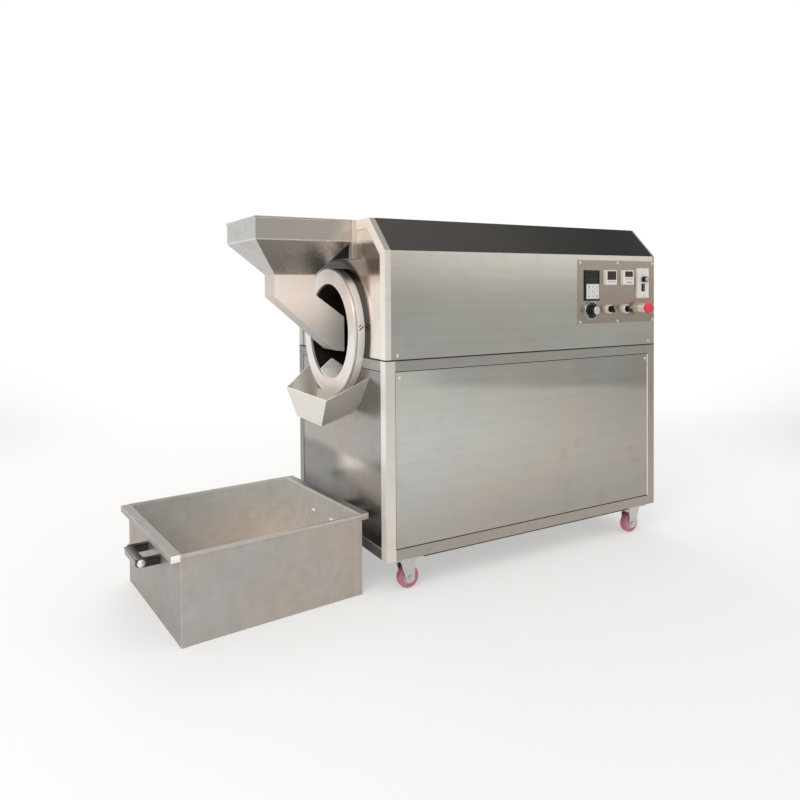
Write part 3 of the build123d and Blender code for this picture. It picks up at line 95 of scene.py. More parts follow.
forward = Vector((sin(YAW) * cos(PITCH), cos(YAW) * cos(PITCH), -sin(PITCH)))
level_right = Vector((cos(YAW), -sin(YAW), 0.0))
level_up = level_right.cross(forward)
picture_right = cos(ROLL) * level_right + sin(ROLL) * level_up
picture_up = -sin(ROLL) * level_right + cos(ROLL) * level_up

lens = bpy.data.cameras.new("photo_camera")
lens.sensor_width = SENSOR_WIDTH
lens.lens = FOCAL_PIXELS / PICTURE * SENSOR_WIDTH
lens.shift_x = 0.5 - AXIS_PIXEL[0] / PICTURE
lens.shift_y = AXIS_PIXEL[1] / PICTURE - 0.5
lens.clip_end = VIEW_DEPTH
camera = bpy.data.objects.new("photo_camera", lens)
aim = Matrix((picture_right, picture_up, -forward)).transposed().to_4x4()
camera.matrix_world = Matrix.Translation(at(*CAMERA_PLACE)) @ aim
bpy.context.scene.collection.objects.link(camera)
bpy.context.scene.camera = camera
bpy.context.scene.view_settings.view_transform = "Standard"
print("lens", round(lens.lens, 2), "shift", round(lens.shift_x, 4), round(lens.shift_y, 4))

# %% [markdown]
# ## Shader maths in plain Python
# A finish is mostly arithmetic on masks. Wiring Math nodes by hand hides that, so a socket is wrapped in
# a small class whose operators add the nodes. Everything that isn't arithmetic goes through one method,
# which takes a node's type, its settings and the values or links of its sockets.


# %% A socket that can be added, multiplied and compared
class Wire:
    """An output socket of a node tree. Python's operators on it add Math nodes."""

    def __init__(self, graph, socket):
        self.graph = graph
        self.socket = socket

    def maths(self, operation, first, second):
        """The result of one operation on two wires or numbers."""
        return self.graph.node("ShaderNodeMath", {"operation": operation}, {0: first, 1: second})

    def __add__(self, other):
        return self.maths("ADD", self, other)

    def __radd__(self, other):
        return self.maths("ADD", other, self)

    def __sub__(self, other):
        return self.maths("SUBTRACT", self, other)

    def __rsub__(self, other):
        return self.maths("SUBTRACT", other, self)

    def __mul__(self, other):
        return self.maths("MULTIPLY", self, other)

    def __rmul__(self, other):
        return self.maths("MULTIPLY", other, self)

    def __pow__(self, other):
        return self.maths("POWER", self, other)

    def __rpow__(self, other):
        return self.maths("POWER", other, self)

    def __gt__(self, other):
        return self.maths("GREATER_THAN", self, other)

    def __lt__(self, other):
        return self.maths("LESS_THAN", self, other)


print("a socket takes + - * ** < >")


# %% A node tree with one method that adds any node
class Graph:
    """A node tree, of a material or of the world."""

    def __init__(self, tree):
        self.tree = tree

    def node(self, kind, settings=None, sockets=None, output=0):
        """Adds a node and returns one of its outputs."""
        made = self.tree.nodes.new(kind)
        for name, value in (settings or {}).items():
            if name == "stops":
                self.set_stops(made.color_ramp, value)
            else:
                setattr(made, name, value)
        for key, value in (sockets or {}).items():
            self.put(made.inputs[key], value)
        return Wire(self, made.outputs[output])

    def put(self, target, value):
        """Links a wire to a socket, or writes a plain value into it."""
        if isinstance(value, Wire):
            self.tree.links.new(value.socket, target)
        else:
            target.default_value = value

    def set_stops(self, ramp, stops):
        """Gives a colour ramp its places and colours."""
        while len(ramp.elements) < len(stops):
            ramp.elements.new(1.0)
        for element, (place, colour) in zip(ramp.elements, stops):
            element.position = place
            element.color = (*colour, 1.0)

    def smooth(self, value, low, high):
        """0 below low, 1 above high, and an easy curve between them."""
        return self.node(
            "ShaderNodeMapRange", {"interpolation_type": "SMOOTHSTEP"},
            {"Value": value, "From Min": low, "From Max": high})

    def mix(self, factor, first, second):
        """Colour between two colours."""
        paint = [colour if isinstance(colour, Wire) else (*colour, 1.0) for colour in (first, second)]
        return self.node(
            "ShaderNodeMix", {"data_type": "RGBA"}, {0: factor, 6: paint[0], 7: paint[1]}, output=2)

    def split(self, vector):
        """The three parts of a vector, as values."""
        return [self.node("ShaderNodeSeparateXYZ", {}, {0: vector}, output=i) for i in range(3)]

    def noise(self, place, scale, detail=2.0, roughness=0.5):
        """Cloudy pattern from 0 to 1 whose patches measure about one over the scale, in metres."""
        return self.node(
            "ShaderNodeTexNoise", {"noise_dimensions": "3D"},
            {"Vector": place, "Scale": scale, "Detail": detail, "Roughness": roughness})

    def stretched(self, place, stretch):
        """Coordinates multiplied along each axis, for patterns that run one way."""
        return self.node("ShaderNodeVectorMath", {"operation": "MULTIPLY"}, {0: place, 1: stretch})


print("shader tools ready")

# %% [markdown]
# ## The studio
# Steel has almost no colour of its own: it shows the room. A plain white room makes it look like paper,
# so the room is white behind the machine, where the camera looks, and falls to a warm grey on the
# camera's side. That is what gives the front panels their middle grey and leaves the end bright.
# The floor takes the same colour a few metres out, so no horizon shows, and keeps its shadow close in.

# %% A room that is white at the back and above, and warm grey at the front
ROOM_WHITE = (1.0, 1.0, 1.0)
ROOM_FRONT_LOW = (0.455, 0.425, 0.395)
ROOM_FRONT_HIGH = (0.52, 0.515, 0.50)
SOFT_LIGHT = 0.78


def room_colour(graph, toward_right, toward_back, rise):
    """Colour of the room for a direction, given by its three parts from -1 to 1."""
    front = graph.mix(graph.smooth(rise, -0.02, 0.25), ROOM_FRONT_LOW, ROOM_FRONT_HIGH)
    white = graph.smooth(toward_back + 0.6 * graph.smooth(rise, 0.0, 1.0), -0.35, 0.45)
    left_wall = graph.smooth(toward_right, -0.1, -0.6)
    right_ceiling = graph.smooth(toward_right, 0.42, 0.62) * graph.smooth(rise, 0.42, 0.62)
    shade = (1.0 - 0.2 * left_wall) * (1.0 - 0.6 * right_ceiling)
    colour = graph.mix(white, front, ROOM_WHITE)
    return graph.node("ShaderNodeVectorMath", {"operation": "SCALE"}, {0: colour, "Scale": shade})


world = bpy.data.worlds.new("studio")
bpy.context.scene.world = world
world.use_nodes = True
room = Graph(world.node_tree)
direction = room.node("ShaderNodeTexCoord", output="Generated")
seen = [room.node("ShaderNodeLightPath", output=ray)
        for ray in ("Is Camera Ray", "Is Glossy Ray", "Is Transmission Ray")]
shown = room.smooth(seen[0] + seen[1] + seen[2], 0.0, 1.0)
backdrop = room.node("ShaderNodeBackground", {}, {
    "Color": room_colour(room, *room.split(direction)), "Strength": 1.0})
soft_light = room.node("ShaderNodeBackground", {}, {
    "Color": (1.0, 0.99, 0.975, 1.0), "Strength": SOFT_LIGHT})
both = room.node("ShaderNodeMixShader", {}, {0: shown, 1: soft_light, 2: backdrop})
room.put(world.node_tree.nodes["World Output"].inputs["Surface"], both)
print("room runs from", ROOM_FRONT_LOW, "to", ROOM_WHITE)

# %% Floor that fades into the room
FLOOR_RADIUS = 60.0
FLOOR_DROP = 0.0005
FADE_FROM, FADE_TO = 1.9, 3.6
LIGHT_TABLE = 0.38
mesh = bpy.data.meshes.new("floor")
shape = bmesh.new()
bmesh.ops.create_circle(shape, cap_ends=True, segments=96, radius=FLOOR_RADIUS)
shape.to_mesh(mesh)
shape.free()
floor = bpy.data.objects.new("floor", mesh)
floor.location.z = -FLOOR_DROP
bpy.context.scene.collection.objects.link(floor)

paint = bpy.data.materials.new("studio_floor")
paint.use_nodes = True
ground = Graph(paint.node_tree)
spot = ground.node("ShaderNodeTexCoord", output="Object")
far = ground.node("ShaderNodeVectorMath", {"operation": "LENGTH"}, {0: spot}, output="Value")
fade = ground.smooth(far, FADE_FROM, FADE_TO)
away = ground.split(ground.node("ShaderNodeVectorMath", {"operation": "NORMALIZE"}, {0: spot}))
matt_floor = ground.node("ShaderNodeBsdfDiffuse", {}, {"Color": (0.92, 0.92, 0.915, 1.0)})
lit_floor = ground.node("ShaderNodeEmission", {}, {"Color": (0.98, 0.98, 0.975, 1.0), "Strength": 1.0})
near_floor = ground.node("ShaderNodeMixShader", {}, {0: LIGHT_TABLE, 1: matt_floor, 2: lit_floor})
far_floor = ground.node("ShaderNodeEmission", {}, {
    "Color": room_colour(ground, away[0], away[1], 0.0), "Strength": 1.0})
ground.put(paint.node_tree.nodes["Material Output"].inputs["Surface"],
           ground.node("ShaderNodeMixShader", {}, {0: fade, 1: near_floor, 2: far_floor}))
floor.data.materials.append(paint)
print("floor radius", FLOOR_RADIUS, "lit share", LIGHT_TABLE)

# %% Soft lamps
centre = (Vector(cad_box[0]) + Vector(cad_box[1])) / 2


def soft_lamp(name, place, size, watts, tint):
    """Square area lamp that points at the middle of the machine."""
    lamp = bpy.data.lights.new(name, "AREA")
    lamp.size = size
    lamp.energy = watts
    lamp.color = tint
    holder = bpy.data.objects.new(name, lamp)
    holder.location = place
    holder.rotation_euler = (centre - Vector(place)).to_track_quat("-Z", "Y").to_euler()
    bpy.context.scene.collection.objects.link(holder)


soft_lamp("key", (-3.2, -2.6, 3.4), 2.6, 75.0, (1.0, 0.97, 0.93))
soft_lamp("fill", (3.0, -2.8, 2.2), 3.0, 8.0, (1.0, 0.98, 0.95))
soft_lamp("back", (0.6, 3.6, 3.2), 3.0, 45.0, (1.0, 1.0, 1.0))
print("lamps aim at", [round(v, 3) for v in centre])

# %% [markdown]
# ## What every finish starts from
# A finish is a Principled shader plus masks that follow the real surface: long grain from brushing,
# cloudy smudges from handling, a slow waviness of thin sheet, and worn edges. CAD edges are sharp,
# so the Bevel node rounds the shading normal at each edge, and where that normal differs from the flat
# one there is an edge, which gives the wear mask for free.


# %% A material under construction
class Finish(Graph):
    """A material with its Principled shader, its coordinates and its masks."""

    def __init__(self, name, **fixed):
        self.material = bpy.data.materials.new(name)
        self.material.use_nodes = True
        super().__init__(self.material.node_tree)
        self.shader = self.tree.nodes["Principled BSDF"]
        self.feed(**fixed)
        self.place = self.node("ShaderNodeTexCoord", output="Object")
        self.normal = None

    def feed(self, **sockets):
        """Values or wires for the shader's sockets, named with underscores for spaces."""
        for socket, value in sockets.items():
            self.put(self.shader.inputs[socket.replace("_", " ")], value)

    def facing(self):
        """The three parts of the face's own normal."""
        return self.split(self.node("ShaderNodeNewGeometry", output="Normal"))

    def away_from(self, point):
        """The three parts, in metres, of the way from a point to the shaded place."""
        return self.split(self.node(
            "ShaderNodeVectorMath", {"operation": "SUBTRACT"}, {0: self.place, 1: point}))

    def rounded(self, radius):
        """Rounds the shading of edges, and returns a mask of them."""
        self.normal = self.node("ShaderNodeBevel", {"samples": 6}, {"Radius": radius})
        flat = self.node("ShaderNodeNewGeometry", output="Normal")
        same = self.node(
            "ShaderNodeVectorMath", {"operation": "DOT_PRODUCT"}, {0: self.normal, 1: flat}, output="Value")
        return self.smooth(1.0 - same, 0.01, 0.2)

    def bump(self, height, depth, strength=1.0):
        """Adds relief of a depth in metres on top of what the normal holds already."""
        sockets = {"Height": height, "Distance": depth, "Strength": strength}
        if self.normal:
            sockets["Normal"] = self.normal
        self.normal = self.node("ShaderNodeBump", {}, sockets)
        self.put(self.shader.inputs["Normal"], self.normal)


def dress(finish, *names):
    """Gives a finished material to CAD nodes."""
    for name in names:
        nodes[name].material_slots[0].material = finish


print("finish class ready")

# %% [markdown]
# ## Stainless steel
# The cabinet is brushed stainless sheet, some of it polished almost to a mirror. Both are one recipe
# with different numbers: a warm grey metal whose grain runs along one axis, whose roughness breathes
# with grain and smudges, and whose thin sheet is never quite flat. Stretching the coordinates before
# the noise turns clouds into brush lines.

# %% Directions of the grain, and tints
ALONG_X = (2.5, 420.0, 420.0)
ALONG_Y = (420.0, 2.5, 420.0)
ALONG_Z = (420.0, 420.0, 2.5)
EVERY_WAY = (260.0, 260.0, 260.0)
COOL_SHIFT = (-0.045, 0.0, 0.015)
WARM_SHIFT = (0.04, -0.01, -0.05)


def scaled(tint, factor):
    """Tint made lighter or darker, up to white."""
    return tuple(min(1.0, factor * channel) for channel in tint)


def shifted(tint, shift, amount):
    """Tint whose red, green and blue are moved by shares of themselves."""
    return tuple(channel * (1.0 + amount * share) for channel, share in zip(tint, shift))


print("brush lines are", ALONG_X[1] / ALONG_X[0], "times as long as wide")


# %% Recipe for brushed and polished stainless
def stainless(name, tint, rough, grain, wave=0.0004, smudge=0.10, edge_wear_and_glint=0.14, edge=0.0012, drift=0.06,
              metal=1.0, gloss=0.5, top_shade=0.0, hue=1.0, warmth=None, painted_shading=None, satin=None):
    """Stainless sheet; grain is how much the pattern is stretched along X, Y and Z.

    Warmth, painted_shading and satin are functions that follow the place on the machine: the first warms the
    colour, the second is a factor on lightness that paints light and shade, and the third turns mirror to
    satin.
    """
    steel = Finish(name, Metallic=metal, Specular_IOR_Level=gloss)
    worn = steel.rounded(edge)
    brushed = steel.stretched(steel.place, grain)
    fine = steel.noise(brushed, 1.0, 3.0, 0.7)
    broad = steel.noise(brushed, 0.13, 2.0)
    cloud = steel.noise(steel.place, 5.5, 4.0, 0.6)
    blot = steel.smooth(steel.noise(steel.place, 17.0, 3.0, 0.65), 0.52, 0.74)
    slow = steel.noise(steel.place, 1.9, 1.0)
    uneven = drift * (fine - 0.5) + 1.5 * drift * (broad - 0.5) + drift * (cloud - 0.5)
    lightness = 1.0 + uneven - 0.05 * blot
    # painted shade: faces that look up are darkened
    if top_shade:
        lightness = lightness * (1.0 - top_shade * steel.smooth(steel.facing()[2], 0.7, 0.95))
    # painted light and shade, worked out from the place on the machine
    if painted_shading:
        lightness = lightness * painted_shading(steel)
    if warmth:
        slow = slow + warmth(steel)
    tone = steel.mix(
        steel.smooth(slow, 0.35, 0.65), shifted(tint, COOL_SHIFT, hue), shifted(tint, WARM_SHIFT, hue))
    shade = steel.node("ShaderNodeVectorMath", {"operation": "SCALE"}, {0: tone, "Scale": lightness})
    # edges are lightened, partly as real wear and partly as painted highlight along the edges
    steel.feed(
        Base_Color=steel.mix(worn * 0.8, shade, scaled(tint, 1.0 + 2.2 * edge_wear_and_glint)),
        Roughness=rough + smudge * (cloud - 0.5) + 0.10 * (fine - 0.5) + 0.09 * blot - 0.05 * worn)
    if satin:
        steel.feed(Metallic=metal * (1.0 - 0.8 * satin(steel)))
    steel.bump(fine, 0.00003, 0.6)
    steel.bump(steel.noise(steel.place, 4.2, 1.0), wave)
    return steel.material


print("stainless recipe ready")

# %% [markdown]
# ## Painted light and shade on the steel
# Each function here gives a factor on a finish's lightness, worked out from the place on the machine,
# and most of them paint light and shade: a dark band of painted reflection round the collar of the mouth,
# painted shadow at the foot of the end, painted light on the end of the frame and painted shade on its
# rails, painted light inside the bin and painted shade on its outside. The bin's warmer outside is its own
# colour. A painted image would need an unwrapped mesh. A mask worked out from the piece's own coordinates
# needs none, and moves with the piece. Lengths in these functions are metres, because those coordinates are.

# %% Painted reflection, shade and highlights on the left end, and its scoured strips
MOUTH = at(0, 325, 717)


def past_ring(steel, y, z):
    """Nothing beside the collar of the mouth, where a dark band of painted reflection lies on the end panel,
    and one further out.
    """
    radius = (y * y + z * z) ** 0.5 + 0.008 * (steel.noise(steel.place, 14.0, 3.0) - 0.5)
    return steel.smooth(radius, 0.226, 0.240)


def scoured_edges(steel):
    """The end panel's top and near strips, which a scouring pad has turned from mirror to satin, and which
    also get a painted highlight.
    """
    _, y, z = steel.away_from(MOUTH)
    near = steel.smooth(y, -0.205, -0.245) * steel.smooth(z, 0.185, 0.130) * past_ring(steel, y, z)
    return steel.smooth(z, 0.258, 0.276) + near


def heat_ring(steel):
    """Painted light and shade on the end panel: painted reflection of the collar beside it, painted shade
    above the collar and on the far side, and a painted highlight on the scoured strips.
    """
    _, y, z = steel.away_from(MOUTH)
    # painted light and shade: browned is a dark band of painted reflection of the collar, then painted shade
    # above the collar, painted highlight on the strips and painted shade on the far side
    browned = 0.10 + 0.90 * past_ring(steel, y, z)
    shade_above_collar = 1.0 - 0.34 * steel.smooth(z, 0.162, 0.180) * steel.smooth(z, 0.225, 0.205)
    strip_highlight = 1.0 + 0.28 * scoured_edges(steel)
    return browned * shade_above_collar * strip_highlight * (1.0 - 0.38 * steel.smooth(y, 0.10, 0.22))


def sooty_foot(steel):
    """Painted light on the end panel's near side and painted shade on its far side up to about a third of a
    metre, and painted shadow, almost black, at its foot.
    """
    _, y, z = steel.away_from(corner)
    height = z + 0.02 * (steel.noise(steel.place, 7.0, 3.0) - 0.5)
    near = steel.smooth(y, 0.37, 0.21)
    # painted light on the near side and painted shade on the far side low down; below, painted shadow,
    # almost black, at the foot
    rubbed = 0.86 + steel.smooth(height, 0.357, 0.322) * (0.84 * near - 0.36 * (1.0 - near))
    return rubbed * (0.02 + 0.98 * steel.smooth(height, 0.145, 0.250))


print("middle of the mouth at", [round(v, 4) for v in MOUTH])

# %% Painted light and shade on front, hopper, duct and collar
SEAM = base_high.z
HOPPER_FOLD = 0.9885


def wiped_front(steel):
    """Painted light at the top of the hood's front; painted shade on the base's front at its foot, under the
    rail and towards the right.
    """
    x, _, z = steel.away_from(corner)
    # painted light and shade: lighter at the hood's top, darker at the base's foot, under the rail and to
    # the right
    hood = 1.06 + 0.52 * steel.smooth(z, 0.80, 0.98)
    shaded = steel.smooth(z + 0.075 * x, 0.565, 0.600) * steel.smooth(x, 0.03, 0.25)
    base = (0.76 + 0.64 * steel.smooth(z, 0.10, 0.62)) * (1.0 - 0.27 * shaded)
    base = base * (1.0 - 0.20 * steel.smooth(x, 0.0, base_high.x - base_low.x))
    return steel.smooth(z, SEAM, SEAM - 0.001) * (base - hood) + hood


def dull_left(steel):
    """Painted shade on the hopper's left faces and on faces that look down, and a painted highlight along
    its fold.
    """
    drop = steel.away_from(corner)[2] - HOPPER_FOLD
    side, _, top = steel.facing()
    left = steel.smooth(side, -0.4, -0.7)
    fold = steel.smooth(drop * drop, 0.000009, 0.000003)
    # painted shade on left and downward faces, painted highlight along the fold
    return 1.0 - 0.16 * left - (0.14 + 0.02 * left) * steel.smooth(top, -0.1, -0.3) + 0.30 * fold


def browned_duct(steel):
    """Painted shade on the duct: darker low down and on its left faces."""
    height = steel.away_from(corner)[2]
    under = steel.smooth(steel.facing()[0], -0.3, -0.6)
    # painted shade: darker low down and on faces turned left
    return (0.66 + 0.36 * steel.smooth(height, 0.70, 0.84)) * (1.0 - 0.34 * under)


def shaded_top(steel):
    """Painted shadow, almost black, on the top of the collar."""
    height = steel.away_from(corner)[2] + 0.01 * (steel.noise(steel.place, 30.0, 3.0) - 0.5)
    # painted shadow on the collar's top
    return 1.0 - 0.86 * steel.smooth(height, 0.855, 0.885)


print("seam at", round(SEAM, 4))

# %% Painted light and shade on the frame and in the channel behind the hopper
TUBE = 30.0
CHANNEL = at(-4.0, 181.5, 0)


def polished_end(steel):
    """Painted light on the end of the frame; painted shade on its rails, slopes, inner end faces and far
    end, and painted shadow at its foot.
    """
    x, y, z = steel.away_from(corner)
    side, front, top = steel.facing()
    tube = TUBE * MM
    rail = steel.smooth(x, tube - 0.0005, tube + 0.0005) * steel.smooth(front * front, 0.4, 0.6)
    slope = steel.smooth(top, 0.2, 0.4) - steel.smooth(top, 0.9, 0.98)
    end = steel.smooth(side, -0.6, -0.9)
    inner = end * steel.smooth(y, tube - 0.001, tube + 0.002) * steel.smooth(z, SEAM + 0.001, SEAM - 0.001)
    foot = inner * steel.smooth(z, 0.130, 0.120)
    far = end * steel.smooth(y, 0.55, 0.62)
    # painted shade on rails, slopes, inner faces and foot, and painted light on the end faces
    frame_shade = (1.0 - 0.50 * rail) * (1.0 - 0.50 * slope) * (1.0 - 0.56 * inner) * (1.0 - 0.7 * foot)
    return frame_shade * (1.0 + 0.36 * end) * (1.0 - 0.35 * far)


def dark_channel(steel):
    """Painted shadow, almost black, inside the channel behind the hopper and painted shade on it low down;
    its lips keep their own colour.
    """
    x, y, z = steel.away_from(CHANNEL)
    inside = steel.smooth(x, 0.0, 0.0015) * steel.smooth(y, 0.0, 0.001)
    # painted shadow inside the channel and painted shade below
    return (1.0 - 0.975 * inside) * (1.0 - 0.55 * steel.smooth(z, 0.994, 0.972))


print("channel at", [round(v, 4) for v in CHANNEL])

# %% The bin, painted lighter inside and yellowed outside
BIN_TURN = radians(5.4)
BIN_CORNER = at(-47.5, 57.5, 0.0)
BIN_SIZE = Vector((0.500, 0.483, 0.224))
BIN_SHEET = 0.0015


def along_bin(steel):
    """The way from the bin's near right corner, along its own length, width and height."""
    x, y, z = steel.away_from(BIN_CORNER)
    return cos(BIN_TURN) * x + sin(BIN_TURN) * y, cos(BIN_TURN) * y - sin(BIN_TURN) * x, z


def inside_bin(steel):
    """One on the inner faces of the bin's sheet and nothing on the outer ones."""
    x, y, z = along_bin(steel)
    skin = BIN_SHEET / 2
    return (x < -skin) * (x > skin - BIN_SIZE.x) * (y > skin) * (y < BIN_SIZE.y - skin) * (z > skin)


def yellowed_outside(steel):
    """The bin's outside has yellowed and its inside, which nuts rub, has not."""
    return 0.14 - 0.20 * inside_bin(steel)


def clean_inside(steel):
    """Painted light on the bin's inside, its top hem and the end of its rim; painted shade on the rim's top
    and on the outside of its left wall.
    """
    x, y, z = along_bin(steel)
    inside = inside_bin(steel)
    side, _, top = steel.facing()
    hem = steel.smooth(z, BIN_SIZE.z - 0.0085, BIN_SIZE.z - 0.0075)
    rim_end = (x < -BIN_SIZE.x) * (y < 0.001) * (y > -0.001)
    rim = hem * steel.smooth(top, 0.7, 0.95)
    left = steel.smooth(side, -0.6, -0.9) * (1.0 - inside)
    inside_light = inside * (0.27 + 0.20 * steel.smooth(x, -0.45, -0.05))
    # painted light inside, on the hem and the rim's end; painted shade on the rim's top and the left outside
    return (0.47 + inside_light + 0.10 * hem + 0.60 * rim_end) * (1.0 - 0.54 * rim) * (1.0 - 0.22 * left)


print("bin turned by", round(BIN_TURN, 4))

# %% Panels and frames
dress(stainless("brushed_panel", (0.57, 0.56, 0.53), 0.30, ALONG_X, drift=0.08, painted_shading=wiped_front),
      "base_front_panel", "hood_front_panel")
dress(stainless("brushed_rear_panel", (0.50, 0.49, 0.465), 0.30, ALONG_X, drift=0.08),
      "base_rear_panel", "hood_rear_panel")
dress(stainless("brushed_end_panel", (0.56, 0.545, 0.51), 0.30, ALONG_Y),
      "base_right_panel", "hood_right_panel")
for name, metal in (("base_frame", 0.45), ("hood_frames", 0.15)):
    dress(stainless("satin_" + name, (0.715, 0.67, 0.62), 0.38, EVERY_WAY, wave=0.0001, edge_wear_and_glint=0.16,
                    drift=0.10, metal=metal, painted_shading=polished_end), name)
dress(stainless("mirror_hood_end", (0.74, 0.65, 0.58), 0.13, ALONG_Y, wave=0.0010, smudge=0.08,
                painted_shading=heat_ring, satin=scoured_edges), "hood_left_panel")
dress(stainless("mirror_base_end", (0.46, 0.425, 0.395), 0.25, ALONG_Y, wave=0.0016, smudge=0.08,
                painted_shading=sooty_foot), "base_left_panel")
dress(stainless("control_plate_steel", (0.50, 0.435, 0.37), 0.24, ALONG_X, wave=0.0002, edge_wear_and_glint=0.40,
                edge=0.0026), "control_plate")
dress(stainless("mill_sheet", (0.50, 0.49, 0.47), 0.40, ALONG_X), "base_floor_pan", "heat_jacket")
print("panels and frames finished")

# %% Mouth, hopper, chute, bin and small steel
dress(stainless("hopper_sheet", (0.635, 0.625, 0.615), 0.26, ALONG_Y, wave=0.0005, smudge=0.06, edge_wear_and_glint=0.26,
                edge=0.0022, drift=0.04, top_shade=0.25, painted_shading=dull_left), "feed_hopper")
dress(stainless("chute_sheet", (0.80, 0.755, 0.70), 0.30, ALONG_Y, wave=0.0009, edge_wear_and_glint=0.22, metal=0.7,
                top_shade=0.25), "discharge_chute")
dress(stainless("channel_sheet", (0.70, 0.645, 0.59), 0.45, ALONG_Y, edge=0.0026, edge_wear_and_glint=0.16, metal=0.1,
                gloss=0.12, painted_shading=dark_channel), "hopper_bracket")
dress(stainless("bright_duct", (0.97, 0.885, 0.825), 0.38, ALONG_X, wave=0.0005, edge_wear_and_glint=0.1, metal=0.15,
                painted_shading=browned_duct), "feed_duct")
dress(stainless("satin_collar", (0.98, 0.93, 0.885), 0.42, EVERY_WAY, wave=0.0001, edge_wear_and_glint=0.1, metal=0.05,
                painted_shading=shaded_top), "mouth_collar")
dress(stainless("polished_ring", (0.94, 0.875, 0.845), 0.32, EVERY_WAY, wave=0.0001, edge_wear_and_glint=0.2,
                drift=0.03, metal=0.5), "drum_mouth_ring")
dress(stainless("bin_steel", (0.935, 0.872, 0.825), 0.38, EVERY_WAY, wave=0.0007, smudge=0.14,
                drift=0.20, metal=0.65, top_shade=0.30, hue=1.5, warmth=yellowed_outside,
                painted_shading=clean_inside), "bin_shell")
dress(stainless("bright_screw", (0.86, 0.85, 0.83), 0.22, EVERY_WAY, wave=0.0, edge_wear_and_glint=0.1, metal=0.8),
      "panel_screws", "bin_handle_bolts")
dress(stainless("zinc_plate", (0.56, 0.57, 0.57), 0.34, EVERY_WAY, wave=0.0, smudge=0.2, drift=0.12),
      "caster_plates", "roller_brackets", *[name for name in nodes if name.startswith("caster_fork")])
print("sheet work finished")

# %% [markdown]
# ## The dark cover
# The folded cover over the hood is a dark gloss coat. A coat layer over a nearly black base gives the
# soft sheen of the room above, and dust that settles on the flat top lightens it a little.


# %% Dark gloss coat
def dark_coat():
    """Nearly black gloss coat with settled dust and fine scratches."""
    coat = Finish("dark_gloss_cover", Coat_Roughness=0.12, Specular_IOR_Level=0.16)
    worn = coat.rounded(0.0015)
    cloud = coat.noise(coat.place, 4.0, 5.0, 0.6)
    lines = coat.noise(coat.stretched(coat.place, (3.0, 240.0, 240.0)), 1.0, 2.0)
    scratch = coat.smooth(lines, 0.60, 0.8)
    faded = coat.smooth(coat.away_from(corner)[0], 0.95, 0.30)
    dust = coat.smooth(coat.facing()[2], 0.8, 1.0) * 0.35 + 0.25 * cloud + 0.6 * faded
    dusty = coat.mix(dust, (0.010, 0.009, 0.008), (0.060, 0.054, 0.047))
    coat.feed(
        Base_Color=coat.mix(worn * 0.5, dusty, (0.20, 0.19, 0.17)),
        Roughness=0.24 + 0.16 * cloud + 0.10 * scratch,
        Coat_Weight=0.12 * faded)
    coat.bump(coat.noise(coat.place, 3.5, 1.0), 0.0005)
    return coat.material


dress(dark_coat(), "hood_cover")
print("cover coated")

# %% [markdown]
# ## Inside the mouth
# The drum is stainless too, but oil and heat have turned its inside brown and almost black. Only the worn
# edges of its flights still shine.


# %% Heat-stained drum
def stained_steel(name):
    """Oil-darkened steel, with worn edges."""
    steel = Finish(name)
    worn = steel.rounded(0.001)
    cloud = steel.noise(steel.place, 11.0, 5.0, 0.65)
    streak = steel.noise(steel.stretched(steel.place, (4.0, 70.0, 70.0)), 1.0, 3.0)
    soot = steel.mix(steel.smooth(cloud, 0.3, 0.7), (0.026, 0.019, 0.013), (0.068, 0.049, 0.034))
    steel.feed(
        Base_Color=steel.mix(worn * 0.6, soot, (0.26, 0.22, 0.18)),
        Metallic=0.75 - 0.5 * cloud,
        Roughness=0.50 + 0.25 * (cloud - 0.5) + 0.15 * (streak - 0.5))
    steel.bump(cloud, 0.0006, 0.5)
    return steel.material


dress(stained_steel("stained_drum"), "drum_shell", "drum_flights")
print("drum stained")

# %% [markdown]
# ## The drive and the heat, out of sight
# These pieces show only through the vents or when the cabinet is opened, but each still gets the finish
# of the real thing: oiled chain, painted castings, heat-blued heater tubes.


# %% Oiled steel of the drive
def oiled_steel(name, tint, rough=0.3):
    """Dark machined steel with a film of oil."""
    steel = Finish(name, Metallic=1.0)
    worn = steel.rounded(0.0006)
    oil = steel.noise(steel.place, 26.0, 4.0, 0.6)
    tool = steel.noise(steel.stretched(steel.place, (900.0, 60.0, 60.0)), 1.0, 2.0)
    shade = steel.mix(oil, scaled(tint, 0.75), scaled(tint, 1.15))
    steel.feed(
        Base_Color=steel.mix(worn * 0.7, shade, (0.62, 0.61, 0.60)),
        Roughness=rough + 0.22 * (oil - 0.5) + 0.08 * (tool - 0.5))
    steel.bump(tool, 0.00004, 0.5)
    return steel.material


dress(oiled_steel("oiled_drive", (0.24, 0.235, 0.23)), "drum_shaft", "motor_sprocket", "drive_chain")
dress(oiled_steel("turned_roller", (0.45, 0.45, 0.45), 0.22),
      "support_roller_front", "support_roller_back")
print("drive oiled")


# %% Painted castings
def painted_casting(name, tint):
    """Thick paint on a rough casting, rubbed at the edges."""
    coat = Finish(name, Coat_Roughness=0.25)
    worn = coat.rounded(0.0015)
    grit = coat.noise(coat.place, 420.0, 3.0, 0.6)
    cloud = coat.noise(coat.place, 14.0, 4.0, 0.6)
    rub = worn * coat.smooth(cloud, 0.35, 0.6)
    shade = coat.mix(cloud, scaled(tint, 0.8), scaled(tint, 1.12))
    coat.feed(
        Base_Color=coat.mix(rub * 0.7, shade, (0.34, 0.33, 0.32)),
        Metallic=0.6 * rub,
        Roughness=0.42 + 0.2 * (cloud - 0.5),
        Coat_Weight=0.25 - 0.2 * rub)
    coat.bump(grit, 0.00025, 0.6)
    return coat.material


dress(painted_casting("painted_bearing", (0.10, 0.17, 0.15)), "rear_bearing", "motor_mount")
dress(painted_casting("painted_motor", (0.16, 0.20, 0.25)), "gear_motor")
print("castings painted")


